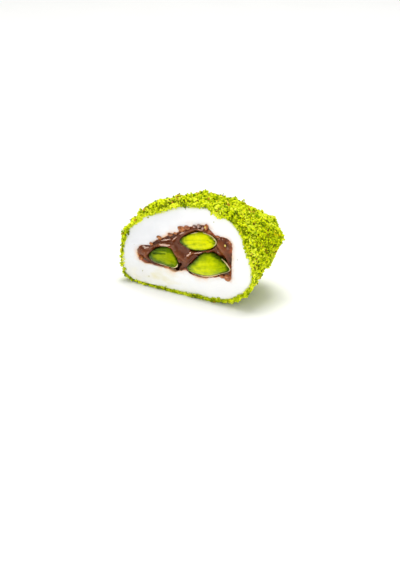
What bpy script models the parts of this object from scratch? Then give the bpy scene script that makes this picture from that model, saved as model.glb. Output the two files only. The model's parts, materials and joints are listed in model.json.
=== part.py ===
"""One cut piece of filled Turkish delight, at rest on its flat base.

A pillow of soft white delight is wrapped round a chocolate filling that holds three pistachio
kernels, and the pillow is rolled in ground pistachio. A knife has cut it across the middle, and this
is one half. The cut face looks to -Y, +X runs along the face, +Z is up, and the origin is the middle
of the base.

Each layer is a sphere drawn out along Y and given the layer's outline, then pressed down towards its
closed end as the soft piece slumps. Sizes are in metres.
"""

from dataclasses import dataclass
import math

import bmesh
import bpy
import numpy as np

MM = 0.001

# Driving dimensions
LENGTH = 24.5 * MM  # from the cut face to the far end of the coating
BARREL = 9.5 * MM  # the stretch behind the cut that keeps the full outline
COAT_AT_BACK = 1.7 * MM
COAT_AT_BASE = 0.9 * MM
FILLING_LENGTH = 18.0 * MM
FILLING_BARREL = 8.0 * MM
GAP = 0.3 * MM  # between one piece and the next

# How the soft piece has settled: it is lowest, narrowest at the foot and furthest right at its far end
SLUMP = 0.17  # part of the height lost at the far end
SLUMP_POWER = 1.4
LEAN = 0.075  # metres to the right for each metre back
UNDERCUT = 14.0 * MM  # how far the lower right side is drawn in at the far end
UNDERCUT_POWER = 0.9
UNDERCUT_TOP = 19.8 * MM
RISE = 7.0 * MM  # how far the right edge of the underside lifts off at the far end
RISE_FROM = 4.0 * MM  # the underside is flat to the left of this
HALF_WIDTH = 24.0 * MM

END_ROUNDNESS = 2.4  # exponent of the superellipse that closes the far end
BARREL_ANGLE = math.radians(27.0)  # share of the sphere's quarter turn that makes the barrel

# Outlines of the layers at the cut, as points on a smooth closed curve: millimetres to the right of
# the middle and up from the base, clockwise from the left side
COAT_OUTLINE = (
    (-24.4, 9.5), (-22.1, 16.9), (-17.3, 22.3), (-9.8, 27.5), (0.0, 30.4), (8.6, 29.8), (16.8, 28.1),
    (22.6, 22.3), (24.5, 14.5), (24.0, 8.1), (20.0, 3.5), (13.0, 0.4), (-4.0, -0.5), (-18.0, -0.3),
    (-23.2, 2.8),
)
BODY_OUTLINE = (
    (-23.5, 8.0), (-22.1, 14.0), (-18.6, 19.2), (-10.8, 23.7), (-2.5, 27.2), (4.0, 28.3), (9.0, 28.3),
    (14.5, 26.7), (19.6, 22.4), (22.4, 16.0), (23.2, 10.2), (19.4, 4.7), (11.5, 1.4), (-4.0, 0.8),
    (-18.0, 0.8), (-22.6, 2.9),
)
FILLING_OUTLINE = (
    (-17.6, 9.6), (-15.8, 12.8), (-11.8, 14.0), (-9.0, 16.9), (-5.2, 18.5), (-2.2, 20.9), (2.6, 22.2),
    (7.4, 23.9), (10.6, 21.4), (15.0, 21.2), (16.8, 17.6), (17.5, 12.0), (16.0, 8.0), (8.0, 6.9),
    (1.5, 7.4), (-5.0, 6.9), (-11.0, 7.1), (-15.8, 7.4),
)
HEART = (3.5 * MM, 14.3 * MM)  # the point that the layers close on at the far end

# Facets
AROUND = 56
RINGS = 20
AROUND_FILLING = 48
AROUND_KERNEL = 18
RINGS_KERNEL = 14
OUTLINE_SAMPLES = 40  # to each point of an outline, before it is spaced out evenly

NAME = "turkish_delight"


@dataclass(frozen=True)
class Kernel:
    """A pistachio kernel that lies along the cut face, with its front rounding standing proud."""

    name: str
    centre: tuple[float, float]  # right and up, at the cut
    half_length: float
    half_width: float
    tilt: float  # degrees, right tip up
    left_tip: float  # exponents of the taper: 0.5 is round, 1 is pointed
    right_tip: float
    arch: float  # how far its middle bows up
    proud: float  # in front of the cut
    depth: float  # behind the cut


KERNELS = (
    Kernel("kernel_upper", (4.7 * MM, 17.85 * MM), 6.9 * MM, 3.1 * MM, 8.0, 0.62, 0.5, 0.15 * MM,
           1.0 * MM, 3.0 * MM),
    Kernel("kernel_right", (8.6 * MM, 10.9 * MM), 7.6 * MM, 3.5 * MM, 7.0, 0.72, 0.62, 0.9 * MM,
           1.2 * MM, 3.2 * MM),
    Kernel("kernel_left", (-7.9 * MM, 10.6 * MM), 5.7 * MM, 3.0 * MM, 6.0, 0.62, 0.42, 0.35 * MM,
           0.7 * MM, 2.9 * MM),
)


@dataclass(frozen=True)
class Layer:
    """A layer's outline at the cut, how far it runs back and the level of its flat underside."""

    outline: tuple[tuple[float, float], ...]
    length: float
    barrel: float
    floor: float
    around: int


COAT = Layer(COAT_OUTLINE, LENGTH, BARREL, 0.0, AROUND)
BODY = Layer(BODY_OUTLINE, LENGTH - COAT_AT_BACK, BARREL, COAT_AT_BASE, AROUND)
FILLING = Layer(FILLING_OUTLINE, FILLING_LENGTH, FILLING_BARREL, COAT_AT_BASE, AROUND_FILLING)


def clear_scene():
    for thing in list(bpy.data.objects):
        bpy.data.objects.remove(thing, do_unlink=True)


def new_collection(name):
    collection = bpy.data.collections.new(name)
    bpy.context.scene.collection.children.link(collection)
    return collection


def new_material(name, colour, roughness, specular=0.5):
    material = bpy.data.materials.new(name)
    material.use_nodes = True
    shader = material.node_tree.nodes["Principled BSDF"]
    shader.inputs["Base Color"].default_value = (*colour, 1.0)
    shader.inputs["Roughness"].default_value = roughness
    shader.inputs["Metallic"].default_value = 0.0
    shader.inputs["Specular IOR Level"].default_value = specular
    return material


def closed_curve(points, count, grow=0.0):
    """Evenly spaced points on the smooth closed curve through an outline's points, moved out by grow."""
    knots = np.array(points) * MM
    place = np.arange(len(knots) * OUTLINE_SAMPLES) / OUTLINE_SAMPLES
    first = place.astype(int)
    t = (place - first)[:, None]
    a, b, c, d = (knots[(first + step) % len(knots)] for step in (-1, 0, 1, 2))
    curve = 0.5 * (2 * b + (c - a) * t + (2 * a - 5 * b + 4 * c - d) * t**2 + (3 * b - a - 3 * c + d) * t**3)

    along = np.roll(curve, -1, axis=0) - np.roll(curve, 1, axis=0)
    outwards = np.stack([-along[:, 1], along[:, 0]], axis=1)
    curve += grow * outwards / np.linalg.norm(outwards, axis=1)[:, None]

    closed = np.vstack([curve, curve[:1]])
    run = np.concatenate([[0.0], np.cumsum(np.linalg.norm(np.diff(closed, axis=0), axis=1))])
    stops = np.arange(count) * run[-1] / count
    return np.stack([np.interp(stops, run, closed[:, axis]) for axis in (0, 1)], axis=1)


def settle(x, y, z, floor):
    """Where a point of the unpressed roll goes once the soft piece has slumped on to its base."""
    back = abs(y) / LENGTH
    low = min(max(1.0 - z / UNDERCUT_TOP, 0.0), 1.0)
    right = min(max(x / HALF_WIDTH, 0.0), 1.0)
    lifted = max((x - RISE_FROM) / (HALF_WIDTH - RISE_FROM), 0.0)
    x += LEAN * abs(y) - UNDERCUT * low * right * back**UNDERCUT_POWER
    z = max(z * (1.0 - SLUMP * back**SLUMP_POWER), floor)
    return x, y, z + RISE * low * lifted * back


def along_and_scale(latitude, layer, grow):
    """How far back a ring of the sphere goes, and the outline's size there."""
    side = math.copysign(1.0, latitude)
    latitude = abs(latitude)
    if latitude <= BARREL_ANGLE:
        return side * layer.barrel * latitude / BARREL_ANGLE, 1.0
    turn = (latitude - BARREL_ANGLE) / (math.pi / 2 - BARREL_ANGLE) * math.pi / 2
    end = layer.length + grow - layer.barrel
    reach = math.sin(turn) ** (2.0 / END_ROUNDNESS)
    scale = max(math.cos(turn), 0.0) ** (2.0 / END_ROUNDNESS)
    return side * (layer.barrel + end * reach), scale


def new_object(name, bm, collection, parent, material=None):
    if bm.calc_volume(signed=True) < 0.0:  # the outline's turn may mirror the sphere
        bmesh.ops.reverse_faces(bm, faces=bm.faces)
    mesh = bpy.data.meshes.new(name)
    bm.to_mesh(mesh)
    bm.free()
    mesh.shade_smooth()
    mesh.set_sharp_from_angle(angle=math.radians(50.0))
    if material:
        mesh.materials.append(material)
    thing = bpy.data.objects.new(name, mesh)
    thing.parent = parent
    collection.objects.link(thing)
    return thing


def whole_layer(name, layer, collection, parent, material=None, grow=0.0):
    """The layer as it was before the cut: a sphere with its poles at the two ends of the roll."""
    outline = closed_curve(layer.outline, layer.around, grow)
    bm = bmesh.new()
    bmesh.ops.create_uvsphere(bm, u_segments=layer.around, v_segments=RINGS, radius=1.0)
    for vert in bm.verts:
        turn = math.atan2(vert.co.y, vert.co.x) / math.tau
        x, z = outline[round(turn * layer.around) % layer.around]
        y, scale = along_and_scale(math.asin(min(max(vert.co.z, -1.0), 1.0)), layer, grow)
        x = HEART[0] + (x - HEART[0]) * scale
        z = HEART[1] + (z - HEART[1]) * scale
        vert.co = settle(x, y, z, layer.floor - grow)
    return new_object(name, bm, collection, parent, material)


def kernel_body(name, kernel, collection, parent, material=None, grow=0.0):
    """A kernel: a sphere with its poles at the two tips, tapered to them and bowed up in the middle."""
    rise, fall = kernel.left_tip, kernel.right_tip
    widest = (rise - fall) / (rise + fall)
    peak = (1.0 + widest) ** rise * (1.0 - widest) ** fall
    tilt = math.radians(kernel.tilt)
    bm = bmesh.new()
    bmesh.ops.create_uvsphere(bm, u_segments=AROUND_KERNEL, v_segments=RINGS_KERNEL, radius=1.0)
    for vert in bm.verts:
        along = min(max(vert.co.z, -1.0), 1.0)
        taper = (1.0 + along) ** rise * (1.0 - along) ** fall / peak
        girth = math.hypot(vert.co.x, vert.co.y) or 1.0
        across, through = vert.co.x / girth, vert.co.y / girth
        u = (kernel.half_length + 1.5 * grow) * along
        v = (kernel.half_width + grow) * taper * across + kernel.arch * (1.0 - along**2)
        reach = kernel.depth if through > 0.0 else kernel.proud
        x = kernel.centre[0] + u * math.cos(tilt) - v * math.sin(tilt)
        z = kernel.centre[1] + u * math.sin(tilt) + v * math.cos(tilt)
        vert.co = (x, (reach + grow) * taper * through, z)
    return new_object(name, bm, collection, parent, material)


def hide_as_cutter(thing):
    thing.hide_render = True
    thing.display_type = "WIRE"
    return thing


def knife_block(collection, parent):
    """The half of the roll that the knife took away: everything in front of the cut."""
    depth, width, height = 1.5 * LENGTH, 4.0 * HALF_WIDTH, 4.0 * HALF_WIDTH
    bm = bmesh.new()
    bmesh.ops.create_cube(bm, size=1.0)
    bmesh.ops.scale(bm, verts=bm.verts, vec=(width, depth, height))
    bmesh.ops.translate(bm, verts=bm.verts, vec=(0.0, -depth / 2, 0.0))
    return hide_as_cutter(new_object("cut_knife", bm, collection, parent))


def subtract(thing, cutter):
    cut = thing.modifiers.new(cutter.name, "BOOLEAN")
    cut.operation = "DIFFERENCE"
    cut.solver = "EXACT"
    cut.object = cutter


def centre_on_base(parent, pieces):
    """Moves the parent so that the finished pieces stand on z = 0, centred over the origin."""
    depsgraph = bpy.context.evaluated_depsgraph_get()
    corners = []
    for piece in pieces:
        evaluated = piece.evaluated_get(depsgraph)
        mesh = evaluated.to_mesh()
        corners += [tuple(evaluated.matrix_world @ vert.co) for vert in mesh.vertices]
        evaluated.to_mesh_clear()
    lowest, highest = np.min(corners, axis=0), np.max(corners, axis=0)
    middle = (lowest + highest) / 2
    parent.location = (-middle[0], -middle[1], -lowest[2])


def main():
    clear_scene()
    parts = new_collection(NAME)
    cutters = new_collection("cutters")
    piece = bpy.data.objects.new("piece", None)
    parts.objects.link(piece)

    ground_pistachio = new_material("ground_pistachio", (0.47, 0.56, 0.03), 0.85)
    white_delight = new_material("white_delight", (0.90, 0.89, 0.86), 0.55)
    chocolate_cream = new_material("chocolate_cream", (0.17, 0.07, 0.035), 0.22)
    pistachio = new_material("pistachio", (0.50, 0.62, 0.03), 0.25)

    knife = knife_block(cutters, piece)

    coating = whole_layer("coating", COAT, parts, piece, ground_pistachio)
    subtract(coating, knife)
    subtract(coating, hide_as_cutter(whole_layer("cut_body_room", BODY, cutters, piece, grow=GAP)))

    body = whole_layer("delight_body", BODY, parts, piece, white_delight)
    subtract(body, knife)
    subtract(body, hide_as_cutter(whole_layer("cut_filling_room", FILLING, cutters, piece, grow=GAP)))

    filling = whole_layer("filling", FILLING, parts, piece, chocolate_cream)
    subtract(filling, knife)

    pieces = [coating, body, filling]
    for kernel in KERNELS:
        room = kernel_body(f"cut_{kernel.name}_room", kernel, cutters, piece, grow=GAP)
        subtract(filling, hide_as_cutter(room))
        pieces.append(kernel_body(kernel.name, kernel, parts, piece, pistachio))

    bpy.context.view_layer.update()
    centre_on_base(piece, pieces)


main()
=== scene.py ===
"""A cut piece of filled Turkish delight on a pale table, in soft studio light.

The piece is a pressed pillow of whipped white delight round a chocolate cream filling with three
pistachio kernels, rolled in ground pistachio and cut across. Every layer is a surface worked out in
numpy from the same settled roll, in metres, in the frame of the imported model.
"""

import json
import logging
import math
from dataclasses import dataclass
from enum import Enum

import bmesh
import bpy
import numpy as np
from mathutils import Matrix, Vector

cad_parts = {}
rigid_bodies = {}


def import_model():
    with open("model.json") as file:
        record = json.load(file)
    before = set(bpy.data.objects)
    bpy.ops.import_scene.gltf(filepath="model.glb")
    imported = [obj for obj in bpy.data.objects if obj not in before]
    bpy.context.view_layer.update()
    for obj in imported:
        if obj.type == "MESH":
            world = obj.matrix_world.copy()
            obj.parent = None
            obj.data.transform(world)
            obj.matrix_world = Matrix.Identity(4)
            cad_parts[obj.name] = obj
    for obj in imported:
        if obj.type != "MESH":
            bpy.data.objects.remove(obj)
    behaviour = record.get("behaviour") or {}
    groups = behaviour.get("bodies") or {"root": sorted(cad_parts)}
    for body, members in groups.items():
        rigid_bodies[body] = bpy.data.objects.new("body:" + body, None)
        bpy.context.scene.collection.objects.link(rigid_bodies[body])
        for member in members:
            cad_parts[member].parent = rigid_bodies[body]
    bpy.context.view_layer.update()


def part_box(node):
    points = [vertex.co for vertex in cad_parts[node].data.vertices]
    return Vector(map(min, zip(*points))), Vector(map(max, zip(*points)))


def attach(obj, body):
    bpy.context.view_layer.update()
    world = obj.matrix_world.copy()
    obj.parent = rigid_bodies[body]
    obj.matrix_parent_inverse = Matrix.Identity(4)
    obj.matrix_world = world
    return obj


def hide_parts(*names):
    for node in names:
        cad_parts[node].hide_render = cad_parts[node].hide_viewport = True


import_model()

Array = np.ndarray
Skin = tuple[Array, list[Array]]  # vertices, and groups of faces that have as many corners each
Point = tuple[float, float]
Place = tuple[float, float, float]
Stops = tuple[tuple[float, str], ...]  # a colour ramp's places and hex colours
Material = bpy.types.Material
Object = bpy.types.Object
Socket = bpy.types.NodeSocket

MM = 0.001
QUARTER = math.pi / 2
BODY = "root"

log = logging.getLogger("turkish_delight")


# ---------------------------------------------------------------------------------- noise


def cell_number(cells: Array, seed: int) -> Array:
    """A fixed random number for each cell of a lattice.

    The three whole coordinates are each multiplied by a large odd number, combined bit by bit, and
    mixed by shifts and products, and the top bits are read as a fraction.

    Args:
        cells: whole coordinates, with the last axis of length three.
        seed: picks one of many patterns.

    Returns:
        Numbers from 0 to 1, one for each cell.
    """
    whole = cells.astype(np.int64).astype(np.uint64)
    odd = np.array([0x9E3779B97F4A7C15, 0xC2B2AE3D27D4EB4F, 0x165667B19E3779F9], np.uint64)
    mixed = np.bitwise_xor.reduce(whole * odd, axis=-1) ^ np.uint64(seed * 7919 + 104729)
    for shift, factor in ((33, 0xFF51AFD7ED558CCD), (29, 0xC4CEB9FE1A85EC53)):
        mixed = (mixed ^ (mixed >> np.uint64(shift))) * np.uint64(factor)
    return (mixed >> np.uint64(40)).astype(float) / float(1 << 24)


def soft_noise(points: Array, size: float, seed: int, octaves: int = 1) -> Array:
    """Smooth noise in space.

    Each lattice corner has a random number, and a point takes the mean of its eight corners, weighed
    by a fifth-degree ease in each direction. Each further octave has half the size and half the height.

    Args:
        points: places in metres, with the last axis of length three.
        size: the lattice's spacing in metres.
        seed: picks the pattern.
        octaves: how many sizes are added together.

    Returns:
        Numbers from about -1 to 1, one for each point.
    """
    total = np.zeros(points.shape[:-1])
    height, norm = 1.0, 0.0
    for octave in range(octaves):
        place = points / (size / 2**octave)
        base = np.floor(place)
        part = place - base
        ease = part**3 * (part * (part * 6.0 - 15.0) + 10.0)
        value = np.zeros(points.shape[:-1])
        for corner in np.ndindex(2, 2, 2):
            pick = np.array(corner)
            weight = np.prod(np.where(pick == 1, ease, 1.0 - ease), axis=-1)
            value += weight * cell_number(base + pick, seed + 31 * octave)
        total += height * (2.0 * value - 1.0)
        norm += height
        height *= 0.5
    return total / norm


def patches(points: Array, size: float, seed: int, octaves: int = 1) -> Array:
    """The same noise brought to 0 to 1, with its size in mm."""
    return 0.5 + 0.5 * soft_noise(points, size * MM, seed, octaves)


def cell_noise(points: Array, size: float, seed: int) -> tuple[Array, Array]:
    """Cellular noise: one random spot in each lattice cell, and each point looks for its nearest spot.

    Args:
        points: places in metres, with the last axis of length three.
        size: the lattice's spacing in metres.
        seed: picks the pattern.

    Returns:
        The distance to the nearest spot in cell sizes, and that spot's own number from 0 to 1.
    """
    place = points / size
    base = np.floor(place)
    nearest = np.full(points.shape[:-1], 9.0)
    number = np.zeros(points.shape[:-1])
    for step in np.ndindex(3, 3, 3):
        cell = base + np.array(step) - 1.0
        spot = cell + np.stack([cell_number(cell, seed + axis) for axis in range(3)], axis=-1)
        away = np.linalg.norm(place - spot, axis=-1)
        number = np.where(away < nearest, cell_number(cell, seed + 5), number)
        nearest = np.minimum(away, nearest)
    return nearest, number


@dataclass(frozen=True)
class Wave:
    """Soft noise as a relief."""

    height: float  # mm
    size: float  # mm
    seed: int
    octaves: int = 1

    def at(self, points: Array) -> Array:
        """Its height in metres at each point."""
        return self.height * MM * soft_noise(points, self.size * MM, self.seed, self.octaves)


def smooth_step(low: float, high: float, value: Array) -> Array:
    """Eases from 0 at low to 1 at high: three squares less two cubes of the part of the way."""
    part = np.clip((value - low) / (high - low), 0.0, 1.0)
    return part * part * (3.0 - 2.0 * part)


def all_round(count: int, start: float = -math.pi) -> Array:
    """Angles all the way round in equal steps, each of them once."""
    return np.linspace(start, start + math.tau, count, endpoint=False)


# --------------------------------------------------------------------------------- meshes


def signed_volume(points: Array, faces: list[Array]) -> float:
    """A skin's volume: six-fold tetrahedra from the origin to its faces' fans, divided by six.

    Args:
        points: vertices in metres.
        faces: groups of faces.

    Returns:
        Cubic metres, below 0 if the faces are turned inwards.
    """
    total = 0.0
    for group in faces:
        for last in range(2, group.shape[1]):
            a, b, c = (points[group[:, corner]] for corner in (0, last - 1, last))
            total += float(np.einsum("ij,ij->i", a, np.cross(b, c)).sum())
    return total / 6.0


def closed_loft(rings: Array) -> Skin:
    """Closes a stack of rings into one skin: quads between rings and a fan at each end's pole.

    Args:
        rings: rings x columns x 3, where every point of the first and of the last ring is its pole.

    Returns:
        The skin. The poles are its first and its last vertex.
    """
    count, columns = rings.shape[:2]
    points = np.vstack([rings[0, :1], rings[1:-1].reshape(-1, 3), rings[-1, :1]])
    grid = 1 + np.arange((count - 2) * columns).reshape(count - 2, columns)
    beside = np.roll(grid, -1, axis=1)
    quads = np.stack([grid[:-1], grid[1:], beside[1:], beside[:-1]], axis=-1).reshape(-1, 4)
    first = np.stack([np.zeros(columns, int), grid[0], beside[0]], axis=-1)
    last = np.stack([np.full(columns, len(points) - 1), beside[-1], grid[-1]], axis=-1)
    return points, [quads, first, last]


def loft_values(values: Array) -> Array:
    """Numbers on a stack of rings, in the order of closed_loft's vertices."""
    return np.concatenate([values[0, :1], values[1:-1].ravel(), values[-1, :1]])


def joined(skins: list[Skin]) -> Skin:
    """Joins skins into one, each one's faces counted on from the vertices before it.

    Args:
        skins: the skins, of any shapes.

    Returns:
        The joined skin.
    """
    starts = np.cumsum([0] + [len(points) for points, _ in skins])
    faces = [group + start for (_, groups), start in zip(skins, starts) for group in groups]
    return np.vstack([points for points, _ in skins]), faces


def placed(name: str, data: bpy.types.ID) -> Object:
    """Puts a mesh, lamp or camera into the scene as an object at the origin.

    Args:
        name: the object's name.
        data: what it holds.

    Returns:
        The new object.
    """
    thing = bpy.data.objects.new(name, data)
    bpy.context.scene.collection.objects.link(thing)
    return thing


def new_piece(
    name: str,
    skin: Skin,
    values: dict[str, Array] | None = None,
    smooth: bool = True,
) -> Object:
    """Makes a mesh object from whole arrays, with its faces turned outwards.

    Args:
        name: the piece's name.
        skin: its vertices in metres and its faces.
        values: named numbers, one for each vertex, that the material reads.
        smooth: whether the faces are shaded smooth.

    Returns:
        The new object.
    """
    points, faces = skin
    if signed_volume(points, faces) < 0.0:
        faces = [group[:, ::-1] for group in faces]
    corners = np.concatenate([group.ravel() for group in faces]).astype(np.int32)
    counts = np.concatenate([np.full(len(group), group.shape[1]) for group in faces])
    starts = np.concatenate([[0], np.cumsum(counts)[:-1]]).astype(np.int32)
    mesh = bpy.data.meshes.new(name)
    mesh.vertices.add(len(points))
    mesh.vertices.foreach_set("co", points.astype(np.float32).ravel())
    mesh.loops.add(len(corners))
    mesh.loops.foreach_set("vertex_index", corners)
    mesh.polygons.add(len(counts))
    mesh.polygons.foreach_set("loop_start", starts)
    mesh.polygons.foreach_set("use_smooth", np.full(len(counts), smooth))
    mesh.update(calc_edges=True)
    mesh.validate()
    for label, numbers in (values or {}).items():
        attribute = mesh.attributes.new(label, "FLOAT", "POINT")
        attribute.data.foreach_set("value", numbers.astype(np.float32).ravel())
    return placed(name, mesh)


def lofted(name: str, rings: Array, values: dict[str, Array]) -> Object:
    """Makes a closed stack of rings a piece.

    Args:
        name: the piece's name.
        rings: as closed_loft takes them.
        values: named numbers for the rings' points, which the material reads.

    Returns:
        The new object.
    """
    return new_piece(name, closed_loft(rings), {label: loft_values(v) for label, v in values.items()})


# ------------------------------------------------------------------------------ materials


def linear(code: str) -> tuple[float, float, float, float]:
    """An sRGB hex colour as the linear colour, with alpha 1, that a shader socket takes."""
    parts = (int(code[place : place + 2], 16) / 255.0 for place in (0, 2, 4))
    return (*(p / 12.92 if p <= 0.04045 else ((p + 0.055) / 1.055) ** 2.4 for p in parts), 1.0)


class Shading:
    """A material while its nodes are joined up: one Principled shader and what feeds it."""

    def __init__(self, name: str, **values: object) -> None:
        """Starts the material and counts its Object coordinates in millimetres.

        Args:
            name: the material's name.
            values: the shader's constant inputs, with underscores for the spaces in their names.
        """
        self.material = bpy.data.materials.new(name)
        self.material.use_nodes = True
        self.tree = self.material.node_tree
        self.shader = self.tree.nodes["Principled BSDF"]
        for label, value in values.items():
            self.shader.inputs[label.replace("_", " ")].default_value = value
        metres = self.add("TexCoord", output="Object")
        self.place = self.add("VectorMath", {0: metres, 1: (1.0 / MM,) * 3}, operation="MULTIPLY")

    def add(
        self,
        kind: str,
        feeds: dict | None = None,
        stops: Stops = (),
        output: str | int = 0,
        **settings: object,
    ) -> Socket:
        """Adds one shader node with its settings and links.

        Args:
            kind: the node's type, without the word ShaderNode.
            feeds: an input's name or number, and the socket to link to it or the value to set.
            stops: a colour ramp's places and hex colours.
            output: the name or number of the output that is wanted.
            settings: the node's own properties.

        Returns:
            That output.
        """
        node = self.tree.nodes.new(f"ShaderNode{kind}")
        for name, value in settings.items():
            setattr(node, name, value)
        for name, value in (feeds or {}).items():
            if isinstance(value, Socket):
                self.tree.links.new(value, node.inputs[name])
            else:
                node.inputs[name].default_value = value
        for number, (place, code) in enumerate(stops):
            ramp = node.color_ramp.elements
            stop = ramp[number] if number < 2 else ramp.new(place)
            stop.position, stop.color = place, linear(code)
        return node.outputs[output]

    def shifted(self, tone: Socket, wave: Socket, reach: float, spread: float = 0.2) -> Socket:
        """Moves a tone up and down with a wave, and keeps it between 0 and 1.

        Args:
            tone: the tone from 0 to 1.
            wave: a noise round 0.5.
            reach: how far the tone moves either way.
            spread: how far from 0.5 the wave is when the tone has moved so far.

        Returns:
            The new tone.
        """
        span = {"From Min": 0.5 - spread, "From Max": 0.5 + spread, "To Min": -reach, "To Max": reach}
        move = self.add("MapRange", {"Value": wave, **span})
        return self.add("Math", {0: tone, 1: move}, operation="ADD", use_clamp=True)

    def stained(self, colour: Socket, label: str, code: str) -> Socket:
        """A colour mixed towards a hex colour by one of the piece's own numbers."""
        amount = self.add("Attribute", output="Fac", attribute_name=label)
        return self.add("Mix", {0: amount, 6: colour, 7: linear(code)}, output=2, data_type="RGBA")

    def finished(self, colour: Socket, height: Socket | None = None, depth: float = 0.0) -> Material:
        """Links the colour to the shader and roughens its normal.

        Args:
            colour: the base colour.
            height: a height from 0 to 1, or none for an even surface.
            depth: the mm that this height stands for.

        Returns:
            The finished material.
        """
        self.tree.links.new(colour, self.shader.inputs["Base Color"])
        if height is not None:
            normal = self.add("Bump", {"Height": height, "Distance": depth * MM, "Strength": 1.0})
            self.tree.links.new(normal, self.shader.inputs["Normal"])
        return self.material

    def mottled(self, scale: float, detail: float, stops: Stops, depth: float = 0.0) -> Material:
        """Colours the shader by a ramp on one noise, which also roughens it.

        Args:
            scale: patches to the mm.
            detail: how many finer sizes the patches have.
            stops: the ramp's places and hex colours.
            depth: the mm of relief, or 0 for an even surface.

        Returns:
            The finished material.
        """
        noise = self.add("TexNoise", {"Vector": self.place, "Scale": scale, "Detail": detail})
        colour = self.add("ValToRGB", {"Fac": noise}, stops)
        return self.finished(colour, noise if depth else None, depth)


@dataclass(frozen=True)
class Finish:
    """What a piece is finished in."""

    name: str

    def material(self) -> Material:
        """Builds the finish's own material."""
        raise NotImplementedError


@dataclass(frozen=True)
class GroundPistachio(Finish):
    """Pistachio kernel, skinned and ground: dry matt crumbs, translucent enough to glow where thin.

    Each crumb is one broken bit of nut, so its colour is its own, and a mottle a few tenths of a
    millimetre wide runs over it.
    """

    dark: str
    middle: str
    light: str
    mottle: float = 0.35  # mm

    def material(self) -> Material:
        """Builds a ramp on the crumb's own number, shifted by the mottle.

        Returns:
            The finished material.
        """
        shading = Shading(
            self.name,
            Roughness=0.7,
            Specular_IOR_Level=0.08,
            Subsurface_Weight=0.15,
            Subsurface_Radius=(0.9, 1.0, 0.05),
            Subsurface_Scale=0.5 * MM,
        )
        own = shading.add("Attribute", output="Fac", attribute_name="tint")
        grain = {"Vector": shading.place, "Scale": 1.0 / self.mottle, "Detail": 3.0}
        mottle = shading.add("TexNoise", grain)
        stops = (0.0, self.dark), (0.5, self.middle), (1.0, self.light)
        colour = shading.add("ValToRGB", {"Fac": shading.shifted(own, mottle, 0.28)}, stops)
        return shading.finished(colour, mottle, 0.12)


@dataclass(frozen=True)
class PressedMeal(Finish):
    """Fine pistachio meal pressed into the sticky delight, coloured deeper than the crumbs as painted
    shade beneath them.
    """

    name: str = "pressed_pistachio_meal"
    # hollow is painted shade and crest painted light
    hollow: str = "525E00"
    face: str = "96A600"
    crest: str = "C8D800"

    def material(self) -> Material:
        """Builds a ramp on the relief's height, painted shade in its hollows and painted light on its
        crests, broken up by grains half a millimetre wide.

        Returns:
            The finished material.
        """
        shading = Shading(self.name, Roughness=0.75, Specular_IOR_Level=0.08)
        height = shading.add("Attribute", output="Fac", attribute_name="relief")
        grain = {"Vector": shading.place, "Scale": 2.2, "Detail": 5.0, "Roughness": 0.7}
        grain = shading.add("TexNoise", grain)
        stops = (0.0, self.hollow), (0.55, self.face), (1.0, self.crest)
        colour = shading.add("ValToRGB", {"Fac": shading.shifted(height, grain, 0.35)}, stops)
        return shading.finished(colour, grain, 0.4)


@dataclass(frozen=True)
class WhippedDelight(Finish):
    """Delight whipped with egg white: soft and matt, light goes a millimetre or two into it.

    It is greyed towards the left by a painted shade and yellower where it was smeared. The knife drags
    faint lines over the cut, the cream stains it along the filling and crumbs tint it along the rim.
    """

    name: str = "whipped_delight"
    white: str = "FBFBFC"
    bright: str = "FEFEFE"
    # painted shade: the grey that the cut is mixed towards on its left
    painted_shade: str = "E8E9EC"
    cream: str = "E8E2BA"
    stain: str = "F2B46E"
    fringe: str = "D9DC8A"

    def material(self) -> Material:
        """Builds a white that is mixed towards its other colours by the piece's own numbers.

        Returns:
            The finished material.
        """
        shading = Shading(
            self.name,
            Roughness=0.55,
            Specular_IOR_Level=0.3,
            Subsurface_Weight=0.55,
            Subsurface_Radius=(1.0, 0.97, 0.92),
            Subsurface_Scale=1.4 * MM,
        )
        cloud = shading.add("TexNoise", {"Vector": shading.place, "Scale": 0.22, "Detail": 4.0})
        colour = shading.add("ValToRGB", {"Fac": cloud}, ((0.35, self.white), (0.75, self.bright)))
        # the painted shade greys the white towards the left; cream, stain and fringe are its own colours
        for label in ("painted_shade", "cream", "stain", "fringe"):
            colour = shading.stained(colour, label, getattr(self, label))
        foam = {"Vector": shading.place, "Scale": 3.0, "Detail": 6.0, "Roughness": 0.65}
        return shading.finished(colour, shading.add("TexNoise", foam), 0.07)


@dataclass(frozen=True)
class ChocolateCream(Finish):
    """Milk-chocolate and hazelnut cream: smooth, fatty and glossy, and caramel brown where it is squeezed
    out along its edge. Its tone is painted paler where it stands higher, as painted light, and darker in
    its hollows, round the kernels, near its edge and towards the left, as painted shade."""

    name: str = "chocolate_cream"
    # From deep to pale: painted shade in the hollows and round the kernels, up to painted light on raised
    # parts.
    deep: str = "30120A"
    body: str = "652D11"
    pale: str = "8B4C26"
    thin: str = "9C481E"

    def material(self) -> Material:
        """Builds a ramp on the piece's own tone, which holds its painted light and shade, and slow swirls,
        with the thin edge over it.

        Returns:
            The finished material.
        """
        shading = Shading(
            self.name,
            Roughness=0.17,
            Specular_IOR_Level=0.48,
            Specular_Tint=(1.0, 0.84, 0.68, 1.0),
            Subsurface_Weight=0.1,
            Subsurface_Radius=(1.0, 0.45, 0.25),
            Subsurface_Scale=0.6 * MM,
        )
        own = shading.add("Attribute", output="Fac", attribute_name="tone")
        swirl = {"Vector": shading.place, "Scale": 0.45, "Detail": 4.0, "Distortion": 1.6}
        tone = shading.shifted(own, shading.add("TexNoise", swirl), 0.14)
        stops = (0.0, self.deep), (0.5, self.body), (1.0, self.pale)
        colour = shading.stained(shading.add("ValToRGB", {"Fac": tone}, stops), "thin", self.thin)
        fine = {"Vector": shading.place, "Scale": 1.2, "Detail": 2.0}
        return shading.finished(colour, shading.add("TexNoise", fine), 0.01)


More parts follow.
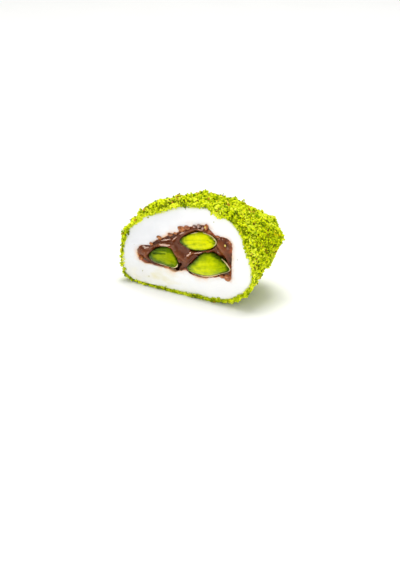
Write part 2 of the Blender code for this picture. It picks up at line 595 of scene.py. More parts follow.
@dataclass(frozen=True)
class PistachioKernel(Finish):
    """A whole skinned pistachio kernel: waxy and glossy, streaked lengthwise, greener at its edges."""

    heart: str
    flesh: str
    edge: str
    streaked: float = 0.27

    def material(self) -> Material:
        """Builds a ramp from the kernel's middle to its edge, shifted by streaks and spots.

        Returns:
            The finished material.
        """
        shading = Shading(
            self.name,
            Roughness=0.24,
            Specular_IOR_Level=0.35,
            Specular_Tint=(0.95, 1.0, 0.08, 1.0),
            Subsurface_Weight=0.25,
            Subsurface_Radius=(0.8, 1.0, 0.05),
            Subsurface_Scale=0.8 * MM,
        )
        # rim: greener towards the kernel's edge, with painted shade on its shaded sides and in its creases
        tone = shading.add("Attribute", output="Fac", attribute_name="rim")
        streak = shading.add("Attribute", output="Fac", attribute_name="streak")
        spot = shading.add("TexNoise", {"Vector": shading.place, "Scale": 0.8, "Detail": 4.0})
        for wave, reach in ((streak, self.streaked), (spot, 0.2)):
            tone = shading.shifted(tone, wave, reach, 0.25)
        stops = (0.0, self.heart), (0.45, self.flesh), (1.0, self.edge)
        colour = shading.add("ValToRGB", {"Fac": tone}, stops)
        fine = {"Vector": shading.place, "Scale": 2.5, "Detail": 2.0}
        return shading.finished(colour, shading.add("TexNoise", fine), 0.02)


@dataclass(frozen=True)
class SeedSkin(Finish):
    """The papery skin left on a kernel: cream to pink-brown, thin, slightly shiny."""

    pale: str = "F4E6AC"
    brown: str = "CC9C60"

    def material(self) -> Material:
        """Builds two tones in patches half a millimetre across."""
        shading = Shading(self.name, Roughness=0.4, Specular_IOR_Level=0.4)
        return shading.mottled(1.6, 4.0, ((0.35, self.pale), (0.75, self.brown)), 0.06)


@dataclass(frozen=True)
class Praline(Finish):
    """Lumps of caramel and hazelnut paste at the filling's edge: translucent orange brown, sticky."""

    name: str = "praline"
    deep: str = "7A380E"
    amber: str = "C87C3A"

    def material(self) -> Material:
        """Builds two tones mottled at a millimetre, with light passing into them."""
        shading = Shading(
            self.name,
            Roughness=0.25,
            Coat_Weight=0.3,
            Subsurface_Weight=0.4,
            Subsurface_Radius=(1.0, 0.45, 0.15),
            Subsurface_Scale=0.9 * MM,
        )
        return shading.mottled(1.1, 4.0, ((0.3, self.deep), (0.7, self.amber)), 0.1)


@dataclass(frozen=True)
class Caramel(Finish):
    """Clear caramel drawn out of the filling: glassy, faintly brown, glossy."""

    name: str = "caramel"
    tint: str = "CFA592"
    dark: str = "5E2C1A"

    def material(self) -> Material:
        """Builds a translucent gloss whose tint thickens in streaks."""
        shading = Shading(self.name, Roughness=0.12, Transmission_Weight=0.2, IOR=1.45, Coat_Weight=0.8)
        return shading.mottled(1.3, 3.0, ((0.4, self.tint), (0.62, self.dark)))


@dataclass(frozen=True)
class PaleTable(Finish):
    """A white laminate table top: even, matt, so bright that it fades into the background."""

    name: str = "pale_table"
    white: str = "FAFAF8"
    bright: str = "FCFCFA"

    def material(self) -> Material:
        """Builds a white with a barely visible mottle a few centimetres wide."""
        shading = Shading(self.name, Roughness=0.8, Specular_IOR_Level=0.2)
        return shading.mottled(0.03, 2.0, ((0.3, self.white), (0.7, self.bright)))


def dress(piece: Object, finish: Finish, slot: str, *replaced: str) -> None:
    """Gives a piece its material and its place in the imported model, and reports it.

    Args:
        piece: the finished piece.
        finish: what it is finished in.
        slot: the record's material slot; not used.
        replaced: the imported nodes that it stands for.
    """
    piece.data.materials.append(finish.material())
    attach(piece, BODY)
    if replaced:
        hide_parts(*replaced)
    log.info("%s: %d vertices", piece.name, len(piece.data.vertices))


# ---------------------------------------------------------------------------------- forms


@dataclass(frozen=True)
class Outline:
    """A closed smooth curve through a few points at the cut.

    The points are millimetres to the right of the middle and up from the base, clockwise from the
    left, and every outline can be seen whole from the heart.
    """

    knots: tuple[Point, ...]
    heart: Point = (0.5, 14.0)
    samples: int = 40  # from one knot to the next

    @property
    def middle(self) -> Array:
        """The heart in metres."""
        return np.array(self.heart) * MM

    def curve(self) -> Array:
        """The curve: between two knots, the cubic that leaves and meets each of them along the line
        joining its neighbours.

        Returns:
            Points in metres.
        """
        knots = np.array(self.knots) * MM
        place = np.arange(len(knots) * self.samples) / self.samples
        first = place.astype(int)
        t = (place - first)[:, None]
        a, b, c, d = (knots[(first + step) % len(knots)] for step in (-1, 0, 1, 2))
        bend = 2.0 * a - 5.0 * b + 4.0 * c - d
        twist = 3.0 * b - a - 3.0 * c + d
        return 0.5 * (2.0 * b + (c - a) * t + bend * t**2 + twist * t**3)

    def radius(self, angle: Array) -> Array:
        """How far the curve is from the heart.

        Args:
            angle: radians round the heart, anticlockwise from +X.

        Returns:
            Metres, one for each angle.
        """
        away = self.curve() - self.middle
        turn = np.arctan2(away[:, 1], away[:, 0])
        order = np.argsort(turn)
        return np.interp(angle, turn[order], np.hypot(*away.T)[order], period=math.tau)


@dataclass(frozen=True)
class Roll:
    """The settled form that the layers share: a roll that closes at its far end and slumps there."""

    start: Point  # where the outline's own middle and the cut lie in the model's frame
    length: float = 24.5 * MM
    far_end: Point = (3.5 * MM, 14.3 * MM)  # right and up, where the layers close
    roundness: float = 2.4
    slump: float = 0.17
    slump_power: float = 1.4
    lean: float = 0.075
    undercut: float = 14.0 * MM
    undercut_power: float = 0.9
    undercut_top: float = 19.8 * MM
    rise: float = 7.0 * MM
    rise_from: float = 4.0 * MM
    half_width: float = 24.0 * MM

    def settle(self, right: Array, up: Array, back: Array, floor: float) -> Array:
        """Where points of the unpressed roll lie on the settled one.

        The height shrinks by the slump times a power of the part of the way back. The lower right is
        drawn in by the undercut times another such power, and lifted by the rise times the part of the
        way itself. The whole leans to the right.

        Args:
            right: metres to the right of the outline's middle.
            up: metres above the base.
            back: metres behind the cut.
            floor: the level that nothing goes below.

        Returns:
            Points in the model's frame.
        """
        part = np.clip(back / self.length, 0.0, None)
        low = np.clip(1.0 - up / self.undercut_top, 0.0, 1.0)
        side = np.clip(right / self.half_width, 0.0, 1.0)
        lifted = np.clip((right - self.rise_from) / (self.half_width - self.rise_from), 0.0, None)
        x = right + self.lean * back - self.undercut * low * side * part**self.undercut_power
        z = np.maximum(up * (1.0 - self.slump * part**self.slump_power), floor)
        z = z + self.rise * low * lifted * part
        return np.stack([x + self.start[0], back + self.start[1], z], axis=-1)


@dataclass(frozen=True)
class Layer:
    """One layer of the roll: its outline, how far it runs back and the level of its underside."""

    outline: Outline
    roll: Roll
    length: float
    barrel: float
    floor: float
    barrel_share: float = 0.42  # of the way from the cut to the pole, in rings

    def side(self, angle: Array, reach: Array, inset: float = 0.0) -> Array:
        """The layer's outer surface.

        Up to the barrel's end the outline keeps its size. From there a quarter turn carries it to the
        pole: back goes with a power of the turn's sine and size with the same power of its cosine.

        Args:
            angle: angles round the heart, one for each column.
            reach: from 0 at the cut to 1 at the pole, one for each ring.
            inset: metres that the outline is drawn in.

        Returns:
            Rings x columns x 3 points.
        """
        turn = np.clip((reach - self.barrel_share) / (1.0 - self.barrel_share), 0.0, 1.0) * QUARTER
        power = 2.0 / self.roll.roundness
        along = np.minimum(reach / self.barrel_share, 1.0) * self.barrel
        back = along + (self.length - self.barrel) * np.sin(turn) ** power
        scale = np.clip(np.cos(turn), 0.0, 1.0)[:, None] ** power
        heart, end = self.outline.middle, self.roll.far_end
        radius = self.outline.radius(angle) - inset
        right = end[0] + (heart[0] + radius * np.cos(angle) - end[0]) * scale
        up = end[1] + (heart[1] + radius * np.sin(angle) - end[1]) * scale
        return self.roll.settle(right, up, np.broadcast_to(back[:, None], right.shape), self.floor)

    def face(self, angle: Array, radius: Array, out: Array | float = 0.0) -> Array:
        """Points on the cut.

        Args:
            angle: angles round the heart.
            radius: metres from the heart.
            out: metres that they stand out of the cut.

        Returns:
            Points in the model's frame.
        """
        heart = self.outline.middle
        right = heart[0] + radius * np.cos(angle)
        up = heart[1] + radius * np.sin(angle)
        points = self.roll.settle(right, up, np.zeros_like(right), self.floor)
        points[..., 1] -= out
        return points


COAT_OUTLINE = Outline((
    (-24.4, 9.5), (-22.1, 16.9), (-17.3, 22.3), (-9.8, 27.5), (0.0, 30.4), (8.6, 29.8), (16.8, 28.1),
    (22.6, 22.3), (24.5, 14.5), (24.0, 8.1), (20.0, 3.5), (13.0, 0.4), (-4.0, -0.5), (-18.0, -0.3),
    (-23.2, 2.8),
))
BODY_OUTLINE = Outline((
    (-23.6, 6.5), (-23.2, 10.5), (-22.2, 14.2), (-20.4, 17.2), (-17.2, 19.9), (-14.6, 22.0), (-9.5, 24.2),
    (-4.5, 26.4), (-0.5, 27.8), (3.5, 28.3), (7.8, 28.8), (9.8, 28.0), (11.5, 26.6), (13.8, 26.9),
    (16.6, 25.8), (19.4, 23.1), (21.4, 19.0), (23.0, 14.4), (23.5, 10.3), (22.4, 7.2), (19.2, 4.2),
    (14.6, 1.9), (9.0, 1.0), (0.0, 0.7), (-9.0, 0.6), (-17.5, 0.7), (-21.4, 1.6), (-23.0, 3.5),
))
FILLING_OUTLINE = Outline((
    (-17.5, 9.8), (-17.1, 11.4), (-16.0, 12.6), (-14.4, 13.1), (-12.6, 13.1), (-11.8, 14.3), (-10.2, 15.4),
    (-7.9, 16.6), (-5.2, 18.3), (-2.8, 19.2), (-1.5, 20.4), (1.1, 21.7), (4.2, 22.6), (7.4, 23.4),
    (8.9, 22.2), (11.0, 20.8), (13.4, 21.0), (15.4, 20.5), (16.4, 18.9), (16.5, 15.4), (16.3, 12.4),
    (16.3, 9.9), (15.6, 8.1), (14.2, 8.2), (12.3, 8.7), (9.6, 8.0), (7.2, 7.2), (4.6, 7.0), (2.4, 7.5),
    (0.8, 8.2), (-1.4, 7.8), (-3.8, 6.8), (-6.4, 7.4), (-9.4, 7.3), (-12.6, 7.4), (-14.8, 7.2),
    (-16.6, 8.1),
))


def settled_roll() -> Roll:
    """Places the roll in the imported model's frame, its cut and left side where the coating's are.

    Returns:
        The roll.
    """
    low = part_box("coating")[0]
    leftmost = COAT_OUTLINE.curve()[:, 0].min()
    return Roll(start=(low[0] - leftmost, low[1]))


def each(kind: type, *rows: tuple) -> tuple:
    """One thing of a kind for each row of its fields."""
    return tuple(kind(*row) for row in rows)


# -------------------------------------------------------------------------------- kernels


@dataclass(frozen=True)
class Rim:
    """A sliver of skin left along a kernel's edge."""

    start: float  # degrees round the kernel, anticlockwise from +X
    end: float
    width: float  # mm
    out: float  # mm outside the kernel's edge
    height: float  # mm in front of the cut
    rings: int = 70
    columns: int = 10

    def sliver(self, outline: Outline, roll: Roll, seed: int) -> Skin:
        """A ragged tube along the edge, thicker than wide, that tapers with the root of a sine.

        Args:
            outline: the kernel's edge.
            roll: gives the place of the cut.
            seed: picks how ragged it is.

        Returns:
            The tube's skin.
        """
        part = np.linspace(0.0, 1.0, self.rings)[:, None]
        angle = np.radians(self.start + (self.end - self.start) * part)
        turn = all_round(self.columns, 0.0)
        run = np.concatenate([angle * 4.0, part, part], axis=1) + seed
        ragged = 1.0 + 0.5 * soft_noise(run, 0.35, 5, 2)[:, None]
        girth = 0.5 * self.width * MM * np.sin(math.pi * part) ** 0.5 * ragged
        radius = outline.radius(angle) + self.out * MM + girth * np.cos(turn)
        x = radius * np.cos(angle) + outline.middle[0] + roll.start[0]
        y = roll.start[1] - self.height * MM - 1.3 * girth * np.sin(turn)
        return closed_loft(np.stack([x, y, radius * np.sin(angle) + outline.middle[1]], axis=-1))


@dataclass(frozen=True)
class Ridge:
    """A rounded ridge, or a groove where its height is below 0, from one place of the cut to another."""

    start: Point  # mm
    end: Point
    half_width: float
    height: float

    def lift(self, right: Array, up: Array) -> Array:
        """Its height at each point: a bell over the distance to the line between its ends.

        Args:
            right: mm to the right of the middle.
            up: mm above the base.

        Returns:
            Height in mm.
        """
        run = np.array(self.end) - np.array(self.start)
        off = np.stack([right - self.start[0], up - self.start[1]], axis=-1)
        part = np.clip(off @ run / max(run @ run, 1e-9), 0.0, 1.0)
        away = np.linalg.norm(off - part[..., None] * run, axis=-1)
        return self.height * np.exp(-((away / self.half_width) ** 2))


@dataclass(frozen=True)
class Shade:
    """A side of a kernel darkened as painted shade."""

    direction: float  # degrees, anticlockwise from +X
    start: float  # of the way from the kernel's middle to its edge, where it begins
    strength: float
    focus: float = 1.0  # the higher, the narrower

    def over(self, angle: Array, size: Array) -> Array:
        """How much it darkens: a power of a cosine round the kernel times an ease outwards."""
        facing = np.clip(np.cos(angle - math.radians(self.direction)), 0.0, 1.0) ** self.focus
        return self.strength * facing * smooth_step(self.start, 1.0, size)


@dataclass(frozen=True)
class Kernel:
    """A pistachio kernel that lies along the cut: its outline there, and how round it is before and
    behind it."""

    name: str
    outline: Outline
    finish: PistachioKernel
    tilt: float  # degrees, the way its streaks run
    proud: float  # mm
    depth: float  # mm
    shades: tuple[Shade, ...]
    rims: tuple[Rim, ...]
    creases: tuple[Ridge, ...]
    seed: int
    columns: int = 150
    front_rings: int = 50
    back_rings: int = 14
    dome_power: float = 0.9  # the lower, the fuller
    belly_power: float = 0.8
    furrow: float = 0.15  # mm that a streak rises or sinks
    swell: float = 0.16  # mm
    stretch: float = 9.0  # how many times as long as wide a streak is
    bow: float = 9.0 * MM  # how far from the heart the streaks close to half their spacing

    def clearance(self, right: Array, up: Array) -> Array:
        """Roughly how far points of the cut are outside the kernel's edge.

        Args:
            right: metres to the right of the middle.
            up: metres above the base.

        Returns:
            Metres, below 0 inside it.
        """
        x, z = right - self.outline.middle[0], up - self.outline.middle[1]
        return np.hypot(x, z) - self.outline.radius(np.arctan2(z, x))

    def streaks(self, x: Array, z: Array) -> Array:
        """Noise drawn out along the kernel, with its streaks closer together towards the tips.

        Args:
            x: metres to the right of the heart.
            z: metres above the heart.

        Returns:
            Numbers from about -1 to 1.
        """
        tilt = math.radians(self.tilt)
        along = x * math.cos(tilt) + z * math.sin(tilt)
        across = z * math.cos(tilt) - x * math.sin(tilt)
        bowed = across * (1.0 + (along / self.bow) ** 2)
        flow = np.stack([along / self.stretch, bowed, np.full_like(along, self.seed * MM)], axis=-1)
        coarse = 0.65 * soft_noise(flow, 0.75 * MM, self.seed, 2)
        return coarse + 0.35 * soft_noise(flow, 0.3 * MM, self.seed + 9)

    def tones(self, angle: Array, size: Array, height: Array, grooves: Array) -> Array:
        """How near its colour is to the edge's: greener towards the edge, and darker as painted shade by
        the shades and in the grooves.

        Args:
            angle: angles round the heart.
            size: from 0 in the middle to 1 at the edge.
            height: above 0 in front of the cut.
            grooves: the creases' height in mm.

        Returns:
            Numbers from 0, as its heart, to 1, as its edge and all that is behind the cut.
        """
        tone = 0.08 + 0.3 * smooth_step(0.8, 1.0, size)
        # painted shade on the shaded sides, and in the grooves below
        for shade in self.shades:
            tone = tone + shade.over(angle, size)
        return np.clip(np.where(height > 0.0, tone - 2.0 * grooves, 1.0), 0.0, 1.0)

    def build(self, roll: Roll) -> None:
        """Builds the kernel as a dome in front of its outline and a rounder one behind it, and the skin
        left along its edge.

        A ring's size goes with the sine of a turn and its height with a power of the cosine. Streaks,
        swells and creases shape the front.

        Args:
            roll: gives the place of the cut.
        """
        angle = all_round(self.columns)
        front = np.linspace(0.0, QUARTER, self.front_rings)
        back = np.linspace(QUARTER, math.pi, self.back_rings)[1:]
        turn = np.concatenate([front, back])[:, None]
        size = np.clip(np.sin(turn), 0.0, 1.0)
        size[0] = size[-1] = 0.0
        radius = self.outline.radius(angle) * size
        x, z = radius * np.cos(angle), radius * np.sin(angle)
        right, up = x + self.outline.middle[0], z + self.outline.middle[1]
        height = np.cos(turn)
        dome = self.proud * np.abs(height) ** self.dome_power
        belly = -self.depth * np.abs(height) ** self.belly_power
        streak = self.streaks(x, z)
        own = np.stack([x, z, np.full_like(x, self.seed * MM)], axis=-1)
        uneven = self.furrow * streak + self.swell * soft_noise(own, 2.6 * MM, self.seed + 4, 2)
        grooves = sum(crease.lift(right / MM, up / MM) for crease in self.creases)
        out = np.where(height > 0.0, dome, belly)
        out = (out + (uneven + grooves) * np.clip(3.0 * height, 0.0, 1.0)) * MM
        rings = np.stack([right + roll.start[0], roll.start[1] - out, up], axis=-1)
        values = {"rim": self.tones(angle, size, height, grooves), "streak": 0.5 + 0.5 * streak}
        dress(lofted(self.name, rings, values), self.finish, "pistachio_kernel", self.name)
        skin = joined([rim.sliver(self.outline, roll, self.seed) for rim in self.rims])
        finish = SeedSkin(f"seed_skin_{self.name}")
        dress(new_piece(f"{self.name}_skin", skin), finish, "pistachio_kernel")


KERNELS = (
    Kernel(
        "kernel_upper",
        Outline((
            (-1.9, 16.8), (-1.3, 17.6), (0.1, 18.7), (1.8, 19.7), (4.0, 20.6), (6.0, 21.1), (8.0, 21.1),
            (9.6, 20.7), (10.8, 19.9), (11.4, 19.1), (11.1, 18.3), (10.2, 17.4), (8.7, 16.4),
            (6.7, 15.6), (4.8, 15.1), (2.9, 14.9), (1.1, 15.2), (-0.4, 15.7), (-1.5, 16.2),
        ), (5.0, 18.1)),
        PistachioKernel("kernel_flesh_upper", "E0E400", "AEBC00", "2E4C00"),
        tilt=14.0, proud=1.5, depth=2.9, seed=3,
        shades=each(Shade, (190.0, 0.4, 0.5, 2.0), (250.0, 0.5, 0.8), (20.0, 0.65, 0.4, 2.0)),
        rims=each(Rim, (-8.0, 68.0, 0.32, -0.12, 0.35), (84.0, 150.0, 0.26, -0.08, 0.3),
                  (262.0, 326.0, 0.2, 0.14, 0.1)),
        creases=each(Ridge, ((8.6, 19.4), (10.6, 18.6), 0.2, -0.2),
                     ((9.3, 20.1), (10.9, 19.3), 0.16, -0.2), ((1.0, 16.2), (5.0, 17.6), 0.2, -0.1)),
    ),
    Kernel(
        "kernel_right",
        Outline((
            (0.7, 9.1), (1.6, 10.1), (2.9, 11.2), (4.2, 12.7), (5.6, 14.1), (7.2, 15.1), (8.9, 15.4),
            (10.6, 15.2), (12.2, 14.6), (13.7, 14.0), (15.0, 13.0), (16.0, 11.8), (15.4, 10.9),
            (13.4, 10.0), (10.8, 8.9), (8.3, 8.1), (5.9, 7.8), (3.6, 7.8), (1.4, 8.2),
        ), (8.3, 11.2)),
        PistachioKernel("kernel_flesh_right", "D0DA00", "96AC00", "2C4A00", 0.16),
        tilt=14.0, proud=1.9, depth=3.0, seed=8,
        shades=each(Shade, (145.0, 0.3, 0.45, 2.0), (190.0, 0.45, 0.55, 3.0), (70.0, 0.7, 0.35),
                    (12.0, 0.15, 0.42, 2.0), (265.0, 0.75, 0.4)),
        rims=each(Rim, (208.0, 368.0, 0.42, 0.12, 0.4), (-8.0, 34.0, 0.36, 0.08, 0.3)),
        creases=each(Ridge, ((1.8, 9.2), (3.4, 9.0), 0.2, -0.2), ((2.4, 10.0), (3.8, 9.4), 0.18, -0.16),
                     ((13.4, 12.9), (14.3, 12.2), 0.16, -0.1)),
    ),
    Kernel(
        "kernel_left",
        Outline((
            (-13.3, 9.7), (-12.6, 11.0), (-11.1, 12.3), (-9.1, 13.4), (-7.2, 13.9), (-5.8, 14.0),
            (-5.0, 13.3), (-4.2, 12.0), (-3.3, 10.6), (-2.7, 9.6), (-2.9, 8.7), (-4.0, 8.0),
            (-5.4, 7.9), (-7.4, 8.1), (-9.4, 8.2), (-11.4, 8.4), (-12.7, 8.9),
        ), (-7.6, 10.8)),
        PistachioKernel("kernel_flesh_left", "9AAA00", "5C7800", "284800"),
        tilt=-6.0, proud=1.2, depth=2.8, seed=14,
        shades=each(Shade, (100.0, 0.2, 0.6), (190.0, 0.3, 0.5), (255.0, 0.4, 0.8)),
        rims=each(Rim, (312.0, 345.0, 0.4, 0.0, 0.2), (200.0, 312.0, 0.24, 0.02, 0.15)),
        creases=each(Ridge, ((-11.2, 11.3), (-6.8, 12.0), 0.26, -0.28),
                     ((-9.8, 12.4), (-6.6, 13.1), 0.2, -0.1), ((-5.6, 8.7), (-3.9, 9.0), 0.2, -0.2)),
    ),
)


# -------------------------------------------------------------------------- white delight


@dataclass(frozen=True)
class Body:
    """The white delight: a settled pillow with a pocket for the filling, cut flat in front."""

    roll: Roll
    columns: int = 480
    outer_rings: int = 26
    rim_rings: int = 7
    face_rings: int = 44
    pocket_rings: int = 18
    rim_radius: float = 0.4 * MM
    length: float = 22.8 * MM
    barrel: float = 9.5 * MM
    floor: float = 0.9 * MM
    pocket_length: float = 18.0 * MM
    pocket_barrel: float = 8.0 * MM
    bulge: float = 0.3 * MM
    waves: tuple[Wave, ...] = (Wave(0.26, 6.0, 21, 2), Wave(0.06, 1.6, 22, 2))
    drag: Wave = Wave(0.045, 0.75, 23, 2)
    pore_depth: float = 0.22 * MM
    pore_share: float = 0.09  # of the cells, which are 1.5 mm wide
    lip: float = 0.14 * MM
    fringe_width: float = 0.3  # mm
    smear_middle: Point = (-12.0, 3.0)  # mm
    smear_size: Point = (10.0, 3.4)  # mm to each side
    painted_shade_fades: Point = (-22.0, 6.0)  # mm to the right, from where the painted shade is full to where it is gone

    def outside(self) -> Layer:
        """Its outer surface."""
        return Layer(BODY_OUTLINE, self.roll, self.length, self.barrel, self.floor)

    def relief(self, flat: Array, part: Array) -> Array:
        """How far the cut stands out: a swell between its edges, slow waves, knife drags and pores.

        Args:
            flat: points of the flat cut.
            part: from 0 at the rim to 1 at the filling, one for each ring.

        Returns:
            Metres towards the front.
        """
        swell = self.bulge * np.sin(math.pi * part) ** 0.7
        waves = sum(wave.at(flat) for wave in self.waves)
        slant = np.array([[0.93, 0.0, 0.36], [0.0, 1.0, 0.0], [-0.36, 0.0, 0.93]])  # about 21 degrees
        drags = self.drag.at(flat @ slant.T * np.array([0.09, 1.0, 1.0]))
        away, number = cell_noise(flat, 1.5 * MM, 24)
        pores = -self.pore_depth * (number < self.pore_share) * (1.0 - smooth_step(0.08, 0.24, away))
        lip = self.lip * smooth_step(0.86, 0.97, part) - self.lip * smooth_step(0.975, 1.0, part)
        return swell + waves + drags + pores + lip

    def numbers(self, rings: Array, from_rim: Array, from_filling: Array) -> dict[str, Array]:
        """What the finish reads.

        The fringe fades away from the rim and the stain away from the filling, both mottled. The cream
        colour is smeared in an oval at the lower left, and a painted shade greys the cut towards the left.

        Args:
            rings: the body's points.
            from_rim: mm from the rim, on the cut.
            from_filling: mm from the filling, on the cut.

        Returns:
            Four named numbers for each point.
        """
        mottle = patches(rings, 1.3, 31, 3)
        stain = np.exp(-from_filling / (0.15 + 0.8 * mottle)) * (0.4 + 0.7 * mottle)
        fringe = np.exp(-from_rim / self.fringe_width) * 0.75 * (0.4 + 0.6 * mottle)
        x, z = (rings[..., 0] - self.roll.start[0]) / MM, rings[..., 2] / MM
        (right, up), (width, height) = self.smear_middle, self.smear_size
        corner = np.exp(-(((x - right) / width) ** 2 + ((z - up) / height) ** 2))
        smear = smooth_step(0.35, 0.8, patches(rings * np.array([0.45, 1.0, 1.0]), 2.2, 33, 3))
        cream = np.clip(corner * (0.2 + 0.8 * smear), 0.0, 1.0)
        # painted shade: the cut greyer towards the left, in mottled patches
        shade_mottle = 0.7 + 0.6 * patches(rings, 4.0, 34, 3)
        painted_shade = np.clip((1.0 - smooth_step(*self.painted_shade_fades, x - 0.55 * (z - 14.0))) * shade_mottle, 0.0, 1.0)
        return {"painted_shade": painted_shade, "stain": stain, "fringe": fringe, "cream": cream}

    def build(self) -> None:
        """Builds the body: far pole, side, rounded rim, cut, pocket wall and pocket end in one skin."""
        angle = all_round(self.columns)
        outer = self.outside()
        pocket = Layer(FILLING_OUTLINE, self.roll, self.pocket_length, self.pocket_barrel, self.floor)
        side = outer.side(angle, np.linspace(1.0, 0.06, self.outer_rings))
        turn = np.linspace(0.0, QUARTER, self.rim_rings)[:, None]
        edge = outer.outline.radius(angle)
        rounded = edge - self.rim_radius * (1.0 - np.cos(turn))
        rim = outer.face(angle, rounded, self.rim_radius * (np.sin(turn) - 1.0))
        part = np.linspace(0.0, 1.0, self.face_rings + 1)[1:, None]
        start, end = edge - self.rim_radius, pocket.outline.radius(angle)
        radius = start + (end - start) * part
        cut = outer.face(angle, radius, self.relief(outer.face(angle, radius), part))
        wall = pocket.side(angle, np.linspace(0.05, 1.0, self.pocket_rings))
        outsides, walls = np.ones((len(side) + len(rim), len(angle))), np.ones((len(wall), len(angle)))
        from_rim = np.vstack([0.0 * outsides, (start - radius) / MM, np.inf * walls])
        from_filling = np.vstack([np.inf * outsides, (radius - end) / MM, 0.0 * walls])
        rings = np.concatenate([side, rim, cut, wall])
        piece = lofted("delight_white", rings, self.numbers(rings, from_rim, from_filling))
        dress(piece, WhippedDelight(), "white_delight", "delight_body")


# -------------------------------------------------------------------------------- filling


RIDGES = each(
    Ridge,
    ((-15.4, 10.8), (-14.4, 10.4), 1.7, 1.3), ((-12.4, 12.6), (-10.2, 13.9), 0.6, 0.7),
    ((-9.4, 14.0), (-5.6, 14.4), 0.6, 0.9), ((-9.2, 15.4), (-5.4, 16.4), 0.45, 0.5),
    ((-4.3, 16.3), (-2.9, 18.0), 0.45, 0.8), ((-5.0, 14.4), (-2.4, 12.0), 0.9, 0.6),
    ((-2.4, 12.2), (0.1, 11.2), 1.0, 0.5), ((0.9, 12.4), (2.6, 14.3), 0.6, 0.9),
    ((2.8, 14.2), (8.6, 15.7), 0.6, 1.0), ((-1.8, 19.2), (3.0, 21.4), 0.6, 0.6),
    ((4.0, 21.7), (9.2, 21.4), 0.5, 0.5), ((12.9, 18.2), (13.8, 17.2), 1.7, 1.3),
    ((14.6, 15.4), (15.4, 12.2), 0.7, 0.5), ((-5.6, 7.1), (-3.0, 7.4), 0.55, -3.0),
    ((-2.9, 7.7), (-1.9, 9.4), 0.34, -1.6), ((12.9, 14.9), (15.6, 13.6), 0.5, -0.4),
)


@dataclass(frozen=True)
class Flat:
    """A place where the knife smoothed the cream to a small flat that leans back, so that it shines."""

    place: Point  # mm
    slant: float  # degrees of its length from +X
    half_length: float
    half_width: float
    lean: float = 0.33  # how much it falls back for each mm upwards

    def press(self, right: Array, up: Array, height: Array) -> Array:
        """Presses a height field into the flat.

        Its plane goes through the mean height near its middle. It is mixed in by a mask that is 1 in
        the middle and eases to 0 round a wavy oval of its half length and half width.

        Args:
            right: mm to the right of the middle.
            up: mm above the base.
            height: metres towards the front.

        Returns:
            The new height in metres.
        """
        turn = math.radians(self.slant)
        x, z = right - self.place[0], up - self.place[1]
        ripple = 0.12 * soft_noise(np.stack([right, up, np.zeros_like(up)], axis=-1), 0.9, 47, 2)
        along = (x * math.cos(turn) + z * math.sin(turn)) / self.half_length
        across = (z * math.cos(turn) - x * math.sin(turn)) / self.half_width + ripple
        mask = 1.0 - smooth_step(0.8, 1.25, np.hypot(along, across))
        middle = float((height * mask).sum() / max(mask.sum(), 1e-9))
        plane = middle + (0.1 - self.lean * z) * MM
        return height * (1.0 - mask) + plane * mask


FLATS = each(
    Flat,
    ((-14.2, 12.5), 4.0, 1.7, 0.75), ((-7.2, 14.6), 6.0, 2.5, 0.5), ((-7.0, 16.1), 18.0, 2.2, 0.3),
    ((-3.6, 17.3), 48.0, 1.2, 0.3), ((1.9, 13.6), 42.0, 1.3, 0.5), ((5.9, 14.9), 13.0, 2.4, 0.28),
    ((-0.8, 19.5), 34.0, 1.2, 0.22), ((5.6, 21.9), 4.0, 1.3, 0.24), ((12.4, 20.3), -30.0, 0.7, 0.3),
    ((-11.2, 13.5), 30.0, 0.8, 0.25),
)


